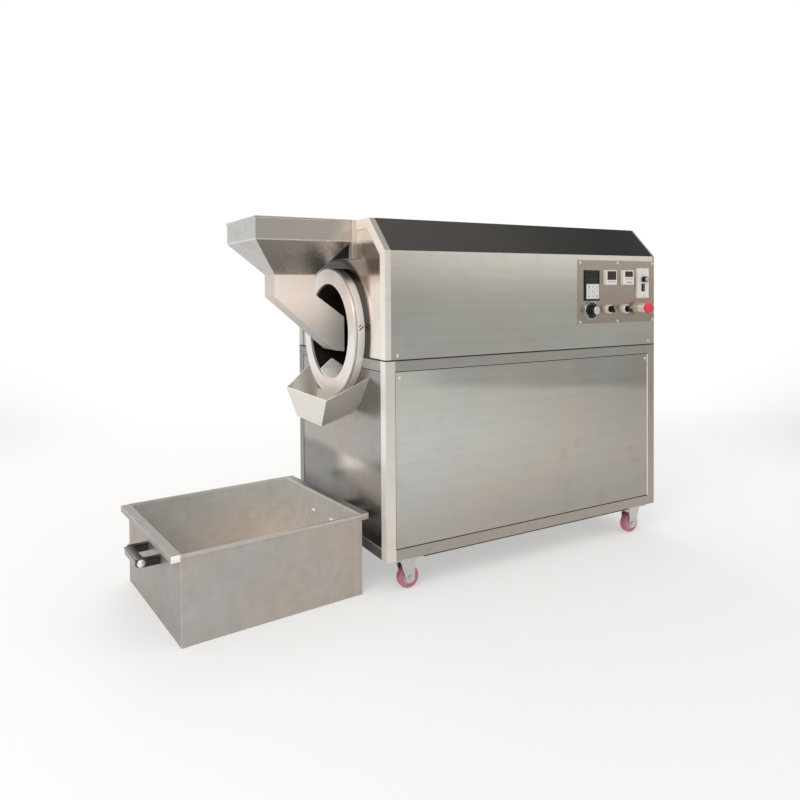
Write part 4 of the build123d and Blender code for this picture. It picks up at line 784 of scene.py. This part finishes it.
# %% Heater tubes
def heater_tube():
    """Steel tube blued and browned by heat along its length."""
    tube = Finish("heat_blued_tube", Metallic=1.0)
    band = tube.noise(tube.stretched(tube.place, (7.0, 30.0, 30.0)), 1.0, 3.0)
    colour = tube.node("ShaderNodeValToRGB", {"stops": (
        (0.30, (0.16, 0.13, 0.12)), (0.48, (0.23, 0.16, 0.11)), (0.58, (0.16, 0.16, 0.22)),
        (0.72, (0.30, 0.28, 0.27)))}, {0: band})
    tube.feed(Base_Color=colour, Roughness=0.38 + 0.2 * (band - 0.5))
    tube.bump(tube.noise(tube.place, 300.0), 0.0001, 0.4)
    return tube.material


dress(heater_tube(), "heating_elements")
print("heater tubes blued")

# %% [markdown]
# ## Plastics and chrome on the control plate
# Moulded plastic has a fine spark-eroded texture and a slightly uneven gloss, and handled edges shine.
# One recipe covers black, white and red parts. Chrome is a very smooth metal with faint wipe marks.


# %% Moulded plastic
def moulded(name, tint, rough, grain=1400.0, relief=0.00006, shine=0.0):
    """Injection-moulded plastic with a fine texture and polished edges."""
    plastic = Finish(name, Coat_Roughness=0.12)
    worn = plastic.rounded(0.0006)
    texture = plastic.noise(plastic.place, grain, 2.0)
    cloud = plastic.noise(plastic.place, 60.0, 3.0, 0.6)
    shade = plastic.mix(cloud, scaled(tint, 0.92), scaled(tint, 1.06))
    edge_tint = tuple(min(1.0, 1.25 * channel + 0.01) for channel in tint)
    plastic.feed(
        Base_Color=plastic.mix(worn * 0.6, shade, edge_tint),
        Roughness=rough + 0.10 * (cloud - 0.5) + 0.05 * (texture - 0.5) - 0.06 * worn,
        Coat_Weight=shine + 0.1 * worn)
    plastic.bump(texture, relief, 0.6)
    return plastic.material


black_plastic = moulded("black_moulding", (0.012, 0.012, 0.012), 0.42)
white_plastic = moulded("white_moulding", (0.80, 0.785, 0.745), 0.36, shine=0.1)
dress(black_plastic, "keypad_unit", "switch_bodies", "dial_knob", "speed_knob", "speed_rocker",
      "direction_selector", "heat_selector", "cable_gland")
dress(white_plastic, "temp_controllers", "speed_controller")
dress(moulded("dial_face", (0.014, 0.014, 0.015), 0.20, relief=0.00002, shine=0.4), "dial_plate")
dress(moulded("stop_red", (0.70, 0.045, 0.085), 0.26, relief=0.00002, shine=0.4), "estop_button")
dress(moulded("handle_gloss", (0.012, 0.012, 0.012), 0.16, grain=500.0, relief=0.00004, shine=0.6),
      "bin_handles")
dress(moulded("box_grey", (0.42, 0.43, 0.44), 0.5), "electrics_box")
# painted reflection: the scoop's near-white colour stands for a bright reflection low in the mouth
dress(moulded("pale_scoop_painted_glint", (0.95, 0.94, 0.92), 0.42, grain=700.0), "drum_scoop")
print("plastics finished")


# %% Chrome
def chromed(name):
    """Bright chrome with faint wipe marks."""
    chrome = Finish(name, Metallic=0.5)
    worn = chrome.rounded(0.0006)
    wipe = chrome.noise(chrome.stretched(chrome.place, (90.0, 400.0, 90.0)), 1.0, 3.0)
    chrome.feed(
        Base_Color=chrome.mix(wipe, (0.88, 0.85, 0.80), (0.97, 0.94, 0.89)),
        Roughness=0.16 + 0.12 * wipe - 0.04 * worn)
    chrome.bump(wipe, 0.00002, 0.4)
    return chrome.material


dress(chromed("bright_chrome"), "button_bezels")
print("chrome finished")

# %% [markdown]
# ## Caster wheels
# The wheels are cast polyurethane: a pinkish red tyre on a paler core, with dirt picked up round the
# tread. One recipe takes each wheel's own centre, so that the rings follow its radius.


# %% Cast tyre on a pale core
CORE_RADIUS = 0.021
TREAD_RADIUS = 0.0312


def wheel_finish(name):
    """Red tyre outside, paler core inside, scuffed on the tread."""
    low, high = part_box(name)
    wheel = Finish(name + "_finish", Coat_Weight=0.15)
    worn = wheel.rounded(0.0008)
    x, _, z = wheel.away_from((low + high) / 2)
    radius = (x * x + z * z) ** 0.5
    cloud = wheel.noise(wheel.place, 90.0, 4.0, 0.6)
    core = 1.0 - wheel.smooth(radius, CORE_RADIUS - 0.0005, CORE_RADIUS + 0.0005)
    tread = wheel.smooth(radius, TREAD_RADIUS - 0.0027, TREAD_RADIUS)
    red = wheel.mix(cloud, (0.37, 0.085, 0.14), (0.54, 0.19, 0.26))
    colour = wheel.mix(core, red, wheel.mix(cloud, (0.52, 0.40, 0.39), (0.66, 0.55, 0.53)))
    scuff = tread * wheel.smooth(cloud, 0.4, 0.65)
    wheel.feed(
        Base_Color=wheel.mix(scuff * 0.55, colour, (0.20, 0.16, 0.15)),
        Roughness=0.34 + 0.25 * scuff + 0.1 * (cloud - 0.5) - 0.05 * worn)
    wheel.bump(wheel.noise(wheel.place, 600.0, 2.0), 0.00008, 0.5)
    return wheel.material


wheels = [name for name in nodes if name.startswith("caster_wheel")]
for name in wheels:
    dress(wheel_finish(name), name)
print("wheels:", len(wheels))

# %% [markdown]
# ## Fine pieces on the control plate
# CAD holds the housings of the control units. What makes them read as instruments are the thin things on
# them: a printed keypad film, display windows, a dial scale, pointer lines. Each is a real solid about a
# millimetre thick or less, drawn as an outline on the plate and given a front, a back and a chamfer, so
# that it stands on its housing from every side. A texture would be flat and would need an image.

# %% Places and outlines on the plate
plate_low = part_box("control_plate")[0]


def on_plate(across, rise, y):
    """Point in millimetres across and up from the plate's lower left corner, with the machine's y."""
    return Vector((plate_low.x + across * MM, corner.y + y * MM, plate_low.z + rise * MM))


def around(centre, radius, turn):
    """Place at a radius from a centre, in a direction given in degrees."""
    return centre[0] + radius * cos(radians(turn)), centre[1] + radius * sin(radians(turn))


def arc(centre, radius, start, end, steps):
    """Points on an arc, from one angle in degrees to another."""
    return [around(centre, radius, start + (end - start) * i / steps) for i in range(steps + 1)]


def rounded_plate(centre, width, height, radius):
    """Outline of a rectangle with rounded corners."""
    x, z = width / 2 - radius, height / 2 - radius
    corners = ((x, -z, -90), (x, z, 0), (-x, z, 90), (-x, -z, 180))
    return [point for dx, dz, start in corners
            for point in arc((centre[0] + dx, centre[1] + dz), radius, start, start + 90, 5)]


def bar(centre, width, height, turn=0.0):
    """Outline of a plain rectangle, turned by degrees about its middle."""
    c, s = cos(radians(turn)), sin(radians(turn))
    corners = ((-width, -height), (width, -height), (width, height), (-width, height))
    return [(centre[0] + (x * c - z * s) / 2, centre[1] + (x * s + z * c) / 2) for x, z in corners]


print("plate corner at", [round(v, 4) for v in plate_low])

# %% Thin plates that ride on a body
CHAMFER = 0.12


def keep_mesh(name, mesh, finish, body):
    """Makes a mesh a piece that rides on a body."""
    mesh.materials.append(finish)
    piece = bpy.data.objects.new(name, mesh)
    bpy.context.scene.collection.objects.link(piece)
    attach(piece, body)


def keep_piece(name, shape, finish, body):
    """Turns a bmesh into a piece that rides on a body."""
    bmesh.ops.recalc_face_normals(shape, faces=shape.faces)
    mesh = bpy.data.meshes.new(name)
    shape.to_mesh(mesh)
    shape.free()
    keep_mesh(name, mesh, finish, body)


def slab(shape, outline, back, front, edge):
    """Adds a closed plate between two depths, with a chamfered front edge."""
    middle = [sum(point[i] for point in outline) / len(outline) for i in (0, 1)]
    reach = max(max(abs(point[i] - middle[i]) for point in outline) for i in (0, 1))
    inset = 1.0 - edge / reach
    small = [tuple(middle[i] + (point[i] - middle[i]) * inset for i in (0, 1)) for point in outline]
    rings = [[shape.verts.new(on_plate(*point, depth)) for point in ring]
             for ring, depth in ((outline, back), (outline, front + edge), (small, front))]
    for first, second in zip(rings, rings[1:]):
        for i in range(len(outline)):
            j = (i + 1) % len(outline)
            shape.faces.new((first[i], first[j], second[j], second[i]))
    shape.faces.new(rings[0])
    shape.faces.new(rings[2])


def flat_pieces(name, outlines, back, front, finish, body="cabinet", edge=CHAMFER, tilt=None):
    """One piece made of several thin plates, turned afterwards if a matrix says so."""
    shape = bmesh.new()
    for outline in outlines:
        slab(shape, outline, back, front, edge)
    if tilt:
        bmesh.ops.transform(shape, matrix=tilt, verts=shape.verts)
    keep_piece(name, shape, finish, body)


print("chamfer of a plate:", CHAMFER, "mm")

# %% Turned solids that ride on a body
CAP_SEGMENTS = 72


def lathe(shape, profile, spot, segments):
    """Round solid from a closed list of radius and height; spot places a turn, radius and height."""
    rings = []
    for radius, height in profile:
        count = segments if radius else 1
        rings.append([
            shape.verts.new(spot(2.0 * pi * i / segments, radius, height)) for i in range(count)])
    for first, second in zip(rings, rings[1:]):
        for i in range(segments):
            j = (i + 1) % segments
            corners = (first[i % len(first)], first[j % len(first)],
                       second[j % len(second)], second[i % len(second)])
            shape.faces.new(list(dict.fromkeys(corners)))
    if len(rings[0]) > 1:
        for i in range(segments):
            j = (i + 1) % segments
            shape.faces.new((rings[-1][i], rings[-1][j], rings[0][j], rings[0][i]))
    for face in shape.faces:
        face.smooth = True


def turned_piece(name, centre, profile, finish, body="cabinet", segments=CAP_SEGMENTS):
    """Round piece about the plate's normal; its heights are places along Y."""
    def spot(turn, radius, y):
        return on_plate(centre[0] + radius * cos(turn), centre[1] + radius * sin(turn), y)

    shape = bmesh.new()
    lathe(shape, profile, spot, segments)
    keep_piece(name, shape, finish, body)


print("turned solids have", CAP_SEGMENTS, "sides")

# %% [markdown]
# ## Printed film, ink, smoked windows and turned caps
# These finishes are small in the picture but they carry the contrast of the control plate: a pale film
# with dark print, windows that are almost black, and bright caps whose grain runs in circles.


# %% Printed film
def film(name, tint, rough=0.38):
    """Printed polyester film with a fine orange-peel texture and rubbed patches."""
    sheet = Finish(name, Coat_Roughness=0.2)
    worn = sheet.rounded(0.0002)
    peel = sheet.noise(sheet.place, 2200.0, 2.0)
    cloud = sheet.noise(sheet.place, 95.0, 3.0, 0.6)
    shade = sheet.mix(cloud, scaled(tint, 0.90), scaled(tint, 1.07))
    sheet.feed(
        Base_Color=sheet.mix(worn * 0.5, shade, scaled(tint, 1.3)),
        Roughness=rough + 0.12 * (cloud - 0.5) + 0.06 * (peel - 0.5),
        Coat_Weight=0.12 + 0.1 * worn)
    sheet.bump(peel, 0.00003, 0.5)
    return sheet.material


print("film recipe ready")


# %% Smoked windows
def smoked_pane(name, tint):
    """Dark window with a hard gloss, dust in its corners and fine wipe marks."""
    pane = Finish(name, Coat_Roughness=0.04, Specular_IOR_Level=0.3)
    wipe = pane.noise(pane.stretched(pane.place, (160.0, 160.0, 900.0)), 1.0, 2.0)
    cloud = pane.noise(pane.place, 70.0, 3.0, 0.6)
    pane.feed(
        Base_Color=pane.mix(cloud, scaled(tint, 0.75), scaled(tint, 1.25)),
        Roughness=0.12 + 0.14 * pane.smooth(wipe, 0.5, 0.75),
        Coat_Weight=0.2 - 0.15 * cloud)
    pane.bump(cloud, 0.00002, 0.3)
    return pane.material


print("window recipe ready")


# %% Turned caps
def turned_cap(name, centre, tint):
    """Aluminium faced on a lathe: its fine grain runs in circles about the centre."""
    cap = Finish(name, Metallic=0.9)
    worn = cap.rounded(0.0004)
    x, _, z = cap.away_from(on_plate(*centre, 0))
    radius = (x * x + z * z) ** 0.5
    rings = cap.noise(cap.node("ShaderNodeCombineXYZ", {}, {0: radius * 5200.0}), 1.0, 3.0, 0.7)
    cloud = cap.noise(cap.place, 130.0, 3.0)
    cap.feed(
        Base_Color=cap.mix(rings, scaled(tint, 0.86), tint),
        Roughness=0.34 + 0.14 * (rings - 0.5) + 0.1 * (cloud - 0.5) - 0.08 * worn)
    cap.bump(rings, 0.00003, 0.5)
    return cap.material


print("cap recipe ready")

# %% Films, inks and windows in use
silver_film = film("silver_film", (0.66, 0.67, 0.68))
key_film = film("key_film", (0.76, 0.77, 0.78), 0.32)
dark_ink = film("dark_ink", (0.05, 0.05, 0.055), 0.45)
red_ink = film("red_ink", (0.34, 0.07, 0.09), 0.45)
white_ink = film("white_ink", (0.82, 0.82, 0.80), 0.42)
grey_key = film("grey_key", (0.42, 0.41, 0.40), 0.40)
black_pane = smoked_pane("black_window", (0.010, 0.010, 0.011))
brown_pane = smoked_pane("smoked_window", (0.030, 0.022, 0.018))
dim_segment = film("unlit_segment", (0.060, 0.050, 0.046), 0.35)
dim_lamp = film("unlit_lamp", (0.20, 0.035, 0.03), 0.25)
print("materials so far:", len(bpy.data.materials))

# %% [markdown]
# ## Digits that aren't lit
# A seven-segment digit that is off still shows as slightly paler bars behind the window. One function
# gives the seven bars of a digit, and a row of digits makes a display. No number is shown on them.


# %% Rows of unlit digits
PRINT_EDGE = 0.03
SEGMENT_DEPTH = 0.15
SEGMENT_SHARE = 0.16


def digit(left, bottom, width, height, thick):
    """Outlines of the seven bars of one digit."""
    middle = left + width / 2
    across = [bar((middle, bottom + share * height), width - 1.3 * thick, thick)
              for share in (0.0, 0.5, 1.0)]
    upright = [bar((left + side * width, bottom + share * height), thick, height / 2 - 1.3 * thick)
               for side in (0, 1) for share in (0.25, 0.75)]
    return across + upright


def digit_row(name, left, bottom, count, width, height, pitch, back):
    """A row of unlit digits on a window."""
    outlines = [outline for i in range(count)
                for outline in digit(left + i * pitch, bottom, width, height, SEGMENT_SHARE * width)]
    flat_pieces(name, outlines, back, back - SEGMENT_DEPTH, dim_segment, edge=PRINT_EDGE)


print("bars in a digit:", len(digit(0.0, 0.0, 1.0, 2.0, SEGMENT_SHARE)))

# %% Windows, lamps and small keys
LINE_EDGE = 0.05
WINDOW_BACK, WINDOW_FRONT, DIGITS_BACK = -14.7, -15.2, -15.15
flat_pieces("keypad_window", [rounded_plate((59, 154), 56.4, 32.4, 1.5)], -4.9, -5.4,
            black_pane)
digit_row("keypad_digits", 40.0, 141.5, 5, 5.2, 9.6, 8.2, -5.35)
lamps = [arc((38.5 + 10.2 * i, 163.5), 1.1, 0, 330, 11) for i in range(5)]
flat_pieces("keypad_lamps", lamps, -5.3, -5.6, dim_lamp, edge=LINE_EDGE)
flat_pieces("heat_window", [rounded_plate((136, 159), 40.4, 28.4, 1.2)], WINDOW_BACK, WINDOW_FRONT,
            brown_pane)
digit_row("heat_digits_upper", 122.0, 160.5, 4, 4.8, 8.6, 8.0, DIGITS_BACK)
digit_row("heat_digits_lower", 124.0, 148.6, 4, 4.0, 7.0, 7.2, DIGITS_BACK)
flat_pieces("counter_window", [rounded_plate((215.5, 164), 37.4, 18.4, 1.2)], WINDOW_BACK, WINDOW_FRONT,
            brown_pane)
digit_row("counter_digits", 202.0, 159.2, 4, 4.8, 9.0, 8.0, DIGITS_BACK)
heat_keys = [rounded_plate((122.2 + 9.2 * i, 138.4), 7.0, 3.6, 0.9) for i in range(4)]
counter_keys = [rounded_plate((204.0 + 11.5 * i, 148.0), 7.6, 4.2, 1.0) for i in range(3)]
for name, outlines in (("heat_keys", heat_keys), ("counter_keys", counter_keys)):
    flat_pieces(name, outlines, -15.9, -16.6, grey_key, edge=0.2)
flat_pieces("counter_slit", [bar((215.5, 136.0), 22.0, 2.2)], -15.95, -16.15, dark_ink,
            edge=LINE_EDGE)
print("lamps:", len(lamps), "small keys:", len(heat_keys) + len(counter_keys))

# %% [markdown]
# ## The keypad
# Nine soft keys under one printed film. The keys are low pads with plain symbols: arrows, a ring, a bar.
# Their print is generic, and the right-hand column is red as such stop and reset keys are.

# %% Film and keys
FILM_CENTRE = (59, 107)
key_places = [(FILM_CENTRE[0] + 18.5 * column, FILM_CENTRE[1] + 15.5 * row)
              for row in (1, 0, -1) for column in (-1, 0, 1)]
flat_pieces("keypad_film", [rounded_plate(FILM_CENTRE, 56.6, 48.6, 2.0)], -6.4, -7.5, silver_film,
            edge=0.3)
flat_pieces("keypad_keys", [rounded_plate(place, 16.0, 12.4, 2.4) for place in key_places], -7.4, -8.0,
            key_film, edge=0.35)
print("keys:", len(key_places))


# %% Symbols printed on the keys
def ring_bars(centre, radius, thick):
    """A ring drawn as short bars, so that each outline stays simple."""
    return [bar(around(centre, radius, a), thick, 0.55 * radius, a) for a in range(0, 360, 30)]


def arrow(centre, size, turn):
    """Outline of a plain triangle pointing one way."""
    return [around(centre, size, turn + a) for a in (0, 130, 230)]


def key_symbol(kind, place):
    """Plain print of one key."""
    x, z = place
    symbols = {
        "up": [arrow(place, 3.4, 90)],
        "down": [arrow(place, 3.4, -90)],
        "ring": ring_bars(place, 2.8, 0.9),
        "bar": [bar(place, 7.0, 1.6)],
        "bars": [bar((x, z + 1.6), 7.4, 1.4), bar((x, z - 1.6), 7.4, 1.4)],
        "run": [arrow((x + 1.6, z), 3.2, 0), bar((x - 3.4, z), 1.2, 5.2)],
        "turn": ring_bars(place, 2.6, 0.8)[:9] + [arrow((x + 2.7, z - 1.2), 1.8, -60)],
        "stop": [bar(place, 5.0, 5.0)]}
    return symbols[kind]


dark_kinds = ("bars", "up", None, "turn", "ring", None, "run", "down", None)
red_kinds = (None, None, "ring", None, None, "bar", None, None, "stop")
for name, kinds, ink in (("keypad_print_dark", dark_kinds, dark_ink),
                         ("keypad_print_red", red_kinds, red_ink)):
    outlines = [outline for kind, place in zip(kinds, key_places) if kind
                for outline in key_symbol(kind, place)]
    flat_pieces(name, outlines, -7.95, -8.12, ink, edge=PRINT_EDGE)
print("symbols:", sum(kind is not None for kind in dark_kinds + red_kinds))

# %% [markdown]
# ## Dial, knobs, rocker and selectors
# The dial is a black disc with a bright rim and a scale from 0 to 10 around three quarters of a turn.
# Plain numbers on a dial belong to no maker. Pointer lines and caps ride on their knobs, so they turn with
# them, while scales stay on the plate.

# %% Dial rim and scale
DIAL = (55.5, 46.0)
DIAL_TICKS = 51
SCALE_START, SCALE_SWEEP = 225.0, -270.0
RIM = [(29.0, -1.5), (29.6, -1.6), (29.6, -6.4), (29.0, -7.0), (27.9, -7.0), (27.7, -6.4), (27.7, -1.5)]
turned_piece("dial_rim", DIAL, RIM, turned_cap("dial_rim_steel", DIAL, (0.80, 0.79, 0.77)))


def scale(centre, inner, outer, count, width):
    """Tick marks of a round scale; every fifth of them is longer and wider."""
    ticks = []
    for i in range(count):
        turn = SCALE_START + SCALE_SWEEP * i / (count - 1)
        strong = i % 5 == 0
        low = inner - (1.3 if strong else 0.0)
        middle = (low + outer) / 2
        ticks.append(bar(around(centre, middle, turn), outer - low, width * (1.5 if strong else 1.0), turn))
    return ticks


flat_pieces("dial_ticks", scale(DIAL, 25.0, 27.0, DIAL_TICKS, 0.5), -6.4, -6.65, white_ink,
            edge=PRINT_EDGE)
print("dial scale of", DIAL_TICKS, "ticks")

# %% Numbers round the dial
NUMERAL_HALF_DEPTH = 0.0001
dial_numbers = [str(i) for i in range(11)]


def numbers(name, centre, radius, texts, size, y, finish, body):
    """Plain numerals round a dial, cut as thin solids from Blender's own font."""
    for i, text in enumerate(texts):
        turn = SCALE_START + SCALE_SWEEP * i / (len(texts) - 1)
        curve = bpy.data.curves.new(name, "FONT")
        curve.body = text
        curve.size = size * MM
        curve.align_x = "CENTER"
        curve.align_y = "CENTER"
        curve.extrude = NUMERAL_HALF_DEPTH
        curve.resolution_u = 4
        holder = bpy.data.objects.new(name, curve)
        mesh = bpy.data.meshes.new_from_object(holder)
        bpy.data.objects.remove(holder)
        place = on_plate(*around(centre, radius, turn), y)
        mesh.transform(Matrix.Translation(place) @ Matrix.Rotation(pi / 2, 4, "X"))
        mesh.materials.clear()
        keep_mesh(f"{name}_{i}", mesh, finish, body)


numbers("dial_number", DIAL, 21.9, dial_numbers, 4.6, -6.55, white_ink, "cabinet")
print("dial runs from", dial_numbers[0], "to", dial_numbers[-1])

# %% Knob caps, pointer lines and the rocker's marks
SPEED_KNOB = (288.0, 147.0)
DIAL_CAP = [(0, -29.9), (12.6, -29.9), (13.2, -29.5), (13.2, -28.6), (0, -28.6)]
SPEED_CAP = [(0, -27.7), (5.6, -27.7), (6.2, -27.3), (6.2, -26.6), (0, -26.6)]
turned_piece("dial_knob_cap", DIAL, DIAL_CAP, turned_cap("dial_cap_alloy", DIAL, (0.86, 0.85, 0.83)),
             "dial_knob")
flat_pieces("dial_knob_pointer", [bar((DIAL[0], DIAL[1] + 8.4), 1.5, 7.0)], -29.8, -30.1, dark_ink,
            "dial_knob", LINE_EDGE)
turned_piece("speed_knob_cap", SPEED_KNOB, SPEED_CAP,
             turned_cap("speed_cap_alloy", SPEED_KNOB, (0.84, 0.83, 0.81)), "speed_knob")
flat_pieces("speed_knob_pointer", [bar((SPEED_KNOB[0], SPEED_KNOB[1] + 3.8), 1.0, 3.2)], -27.6, -27.9,
            dark_ink, "speed_knob", LINE_EDGE)
flat_pieces("speed_ticks", scale(SPEED_KNOB, 12.3, 14.2, 11, 0.6), -11.4, -11.65, dark_ink,
            edge=PRINT_EDGE)
print("caps at", DIAL, "and", SPEED_KNOB)

# %% Selector lines, rocker marks and face screws
SCREW_SEGMENTS = 24
SELECTORS = (("direction_selector", (133.0, 48.5), 90.0), ("heat_selector", (210.0, 48.0), 135.0))
LINE_REACH, LINE_LENGTH, LINE_WIDTH = 5.2, 7.6, 1.5
ROCKER, ROCKER_AXLE, ROCKER_REST = (287.0, 119.0), -10.5, radians(-10.0)
SCREW_HEAD = [(0, -13.0), (1.7, -12.8), (2.8, -12.2), (3.1, -11.4), (0, -11.4)]
for name, place, lean in SELECTORS:
    line = bar(around(place, LINE_REACH, lean), LINE_LENGTH, LINE_WIDTH, lean)
    flat_pieces(name + "_line", [line], -30.7, -31.0, white_ink, name, LINE_EDGE)
axle = on_plate(*ROCKER, ROCKER_AXLE)
rocker_tilt = Matrix.Translation(axle) @ Matrix.Rotation(ROCKER_REST, 4, "X") @ Matrix.Translation(-axle)
rocker_marks = [bar((ROCKER[0], ROCKER[1] + 5.4), 1.0, 3.8),
                *ring_bars((ROCKER[0], ROCKER[1] - 5.4), 1.9, 0.6)]
flat_pieces("rocker_marks", rocker_marks, -14.45, -14.65, white_ink, "speed_rocker",
            PRINT_EDGE, rocker_tilt)
for i, place in enumerate(((289.5, 88.5), (289.5, 178.5))):
    alloy = turned_cap(f"face_screw_alloy_{i}", place, (0.80, 0.79, 0.77))
    turned_piece(f"speed_face_screw_{i}", place, SCREW_HEAD, alloy, segments=SCREW_SEGMENTS)
print("selector lines:", len(SELECTORS), "rocker marks:", len(rocker_marks))

# %% [markdown]
# ## Seals and bolts
# A black rubber seal lies in the joint between hood and base, and thinner ones close the gaps round the
# front panel and over the end panel. They are what draws the dark lines across the machine. A dark strip
# under the front rail is painted shadow, a pale bead by the right post is painted highlight, and each pull
# handle is held at its corners by domed chrome bolts, put there as painted highlight.

# %% Rubber and straight strips
STRIP_ROUND = 0.4


def rubber(name):
    """Matt black rubber with dust in its pores."""
    seal = Finish(name)
    pores = seal.noise(seal.place, 900.0, 3.0, 0.6)
    dust = seal.smooth(seal.noise(seal.place, 24.0, 4.0, 0.6), 0.5, 0.8)
    seal.feed(Base_Color=seal.mix(dust * 0.5, (0.008, 0.008, 0.008), (0.035, 0.033, 0.030)),
              Roughness=0.62 + 0.2 * (pores - 0.5))
    seal.bump(pores, 0.0001, 0.5)
    return seal.material


def strip(name, low, high, finish):
    """Straight strip with rounded edges between two machine points."""
    shape = bmesh.new()
    start, end = at(*low), at(*high)
    stretch = Matrix.Diagonal((*(end - start), 1.0))
    bmesh.ops.create_cube(shape, matrix=Matrix.Translation((start + end) / 2) @ stretch)
    bmesh.ops.bevel(
        shape, geom=shape.edges[:], offset=STRIP_ROUND * MM, segments=2, profile=0.5, affect="EDGES")
    keep_piece(name, shape, finish, "cabinet")


print("strips are rounded by", STRIP_ROUND, "mm")

# %% Rubber seals, a dark strip of painted shadow under the rail and a bead of painted highlight
length = (base_high.x - base_low.x) / MM
depth = (base_high.y - base_low.y) / MM
foot, seam = base_low.z / MM, SEAM / MM
seal_low, seal_high = seam - 1.7, seam + 2.2
opening_foot, opening_top = foot + TUBE, seam - TUBE
opening_right, opening_back = length - TUBE, depth - TUBE
black_rubber = rubber("black_rubber")
for name, low, high in (
        ("hood_seal_front", (-0.4, -0.5, seal_low), (length, 1.5, seal_high)),
        ("hood_seal_rear", (-0.4, depth - 1.5, seal_low), (length, depth + 0.5, seal_high)),
        ("hood_seal_left_near", (-0.5, 1.0, seal_low), (1.5, 136.0, seal_high)),
        ("hood_seal_left_far", (-0.5, 514.0, seal_low), (1.5, depth - 1.0, seal_high)),
        ("panel_seal_top", (TUBE, 1.0, opening_top - 2.6), (opening_right, 2.5, opening_top)),
        ("panel_seal_bottom", (TUBE, 1.0, opening_foot), (opening_right, 2.5, opening_foot + 2.6)),
        ("panel_seal_left", (TUBE, 1.0, opening_foot), (TUBE + 1.8, 2.5, opening_top)),
        ("end_seal_near", (1.0, TUBE, opening_top - 2.4), (2.5, 148.0, opening_top)),
        ("end_seal_far", (1.0, 502.0, opening_top - 2.4), (2.5, opening_back, opening_top)),
        # painted shadow: a dark strip under the front rail stands where shade falls
        ("pan_lip", (4.0 * TUBE, 1.5, foot - 4.0), (length - 4.0 * TUBE, 8.0, foot + 0.5))):
    strip(name, low, high, black_rubber)
# painted highlight: the bead's near-white colour stands for a light line along the right post's inner edge
strip("panel_bead_right", (opening_right - 3.0, 0.6, opening_foot + 3.0),
      (opening_right - 0.5, 2.5, opening_top - 3.0),
      stainless("bead_steel", (0.95, 0.93, 0.89), 0.25, ALONG_Z, wave=0.0, metal=0.3))
print("seals from", round(seal_low, 1), "to", round(seal_high, 1), "and foot at", round(foot, 1))


# %% Domed chrome bolts at the corners of the pull handles, put there as painted highlight
def on_bin(x, y, z):
    """Point given in metres along the bin's own length, width and height."""
    return BIN_CORNER + Matrix.Rotation(BIN_TURN, 3, "Z") @ Vector((x, y, z))


HANDLE_REACH, HANDLE_RISE = 0.060, 0.162
HANDLE_MIDDLE, HANDLE_HALF = 0.231, 0.068
BOLT_INSET = 0.012
DOME_SEGMENTS = 28
DOME = [(0.0, 0.0058), (0.0030, 0.0055), (0.0056, 0.0044), (0.0074, 0.0026),
        (0.0080, 0.0013), (0.0098, 0.0011), (0.0100, 0.0), (0.0, 0.0)]


def dome(shape, end, side):
    """Domed head whose axis lies across the bin, at one corner of a handle."""
    def spot(turn, radius, out):
        return on_bin(end + radius * cos(turn), HANDLE_MIDDLE + side * (HANDLE_HALF + out),
                      HANDLE_RISE + radius * sin(turn))

    lathe(shape, DOME, spot, DOME_SEGMENTS)


# painted highlight: bright chrome domes stand where the handle corners catch a highlight
domes = bmesh.new()
for end in (-BIN_SIZE.x - HANDLE_REACH + BOLT_INSET, HANDLE_REACH - BOLT_INSET):
    for side in (-1, 1):
        dome(domes, end, side)
keep_piece("handle_domes", domes, chromed("dome_chrome"), "bin")
print("domes at reach", HANDLE_REACH)
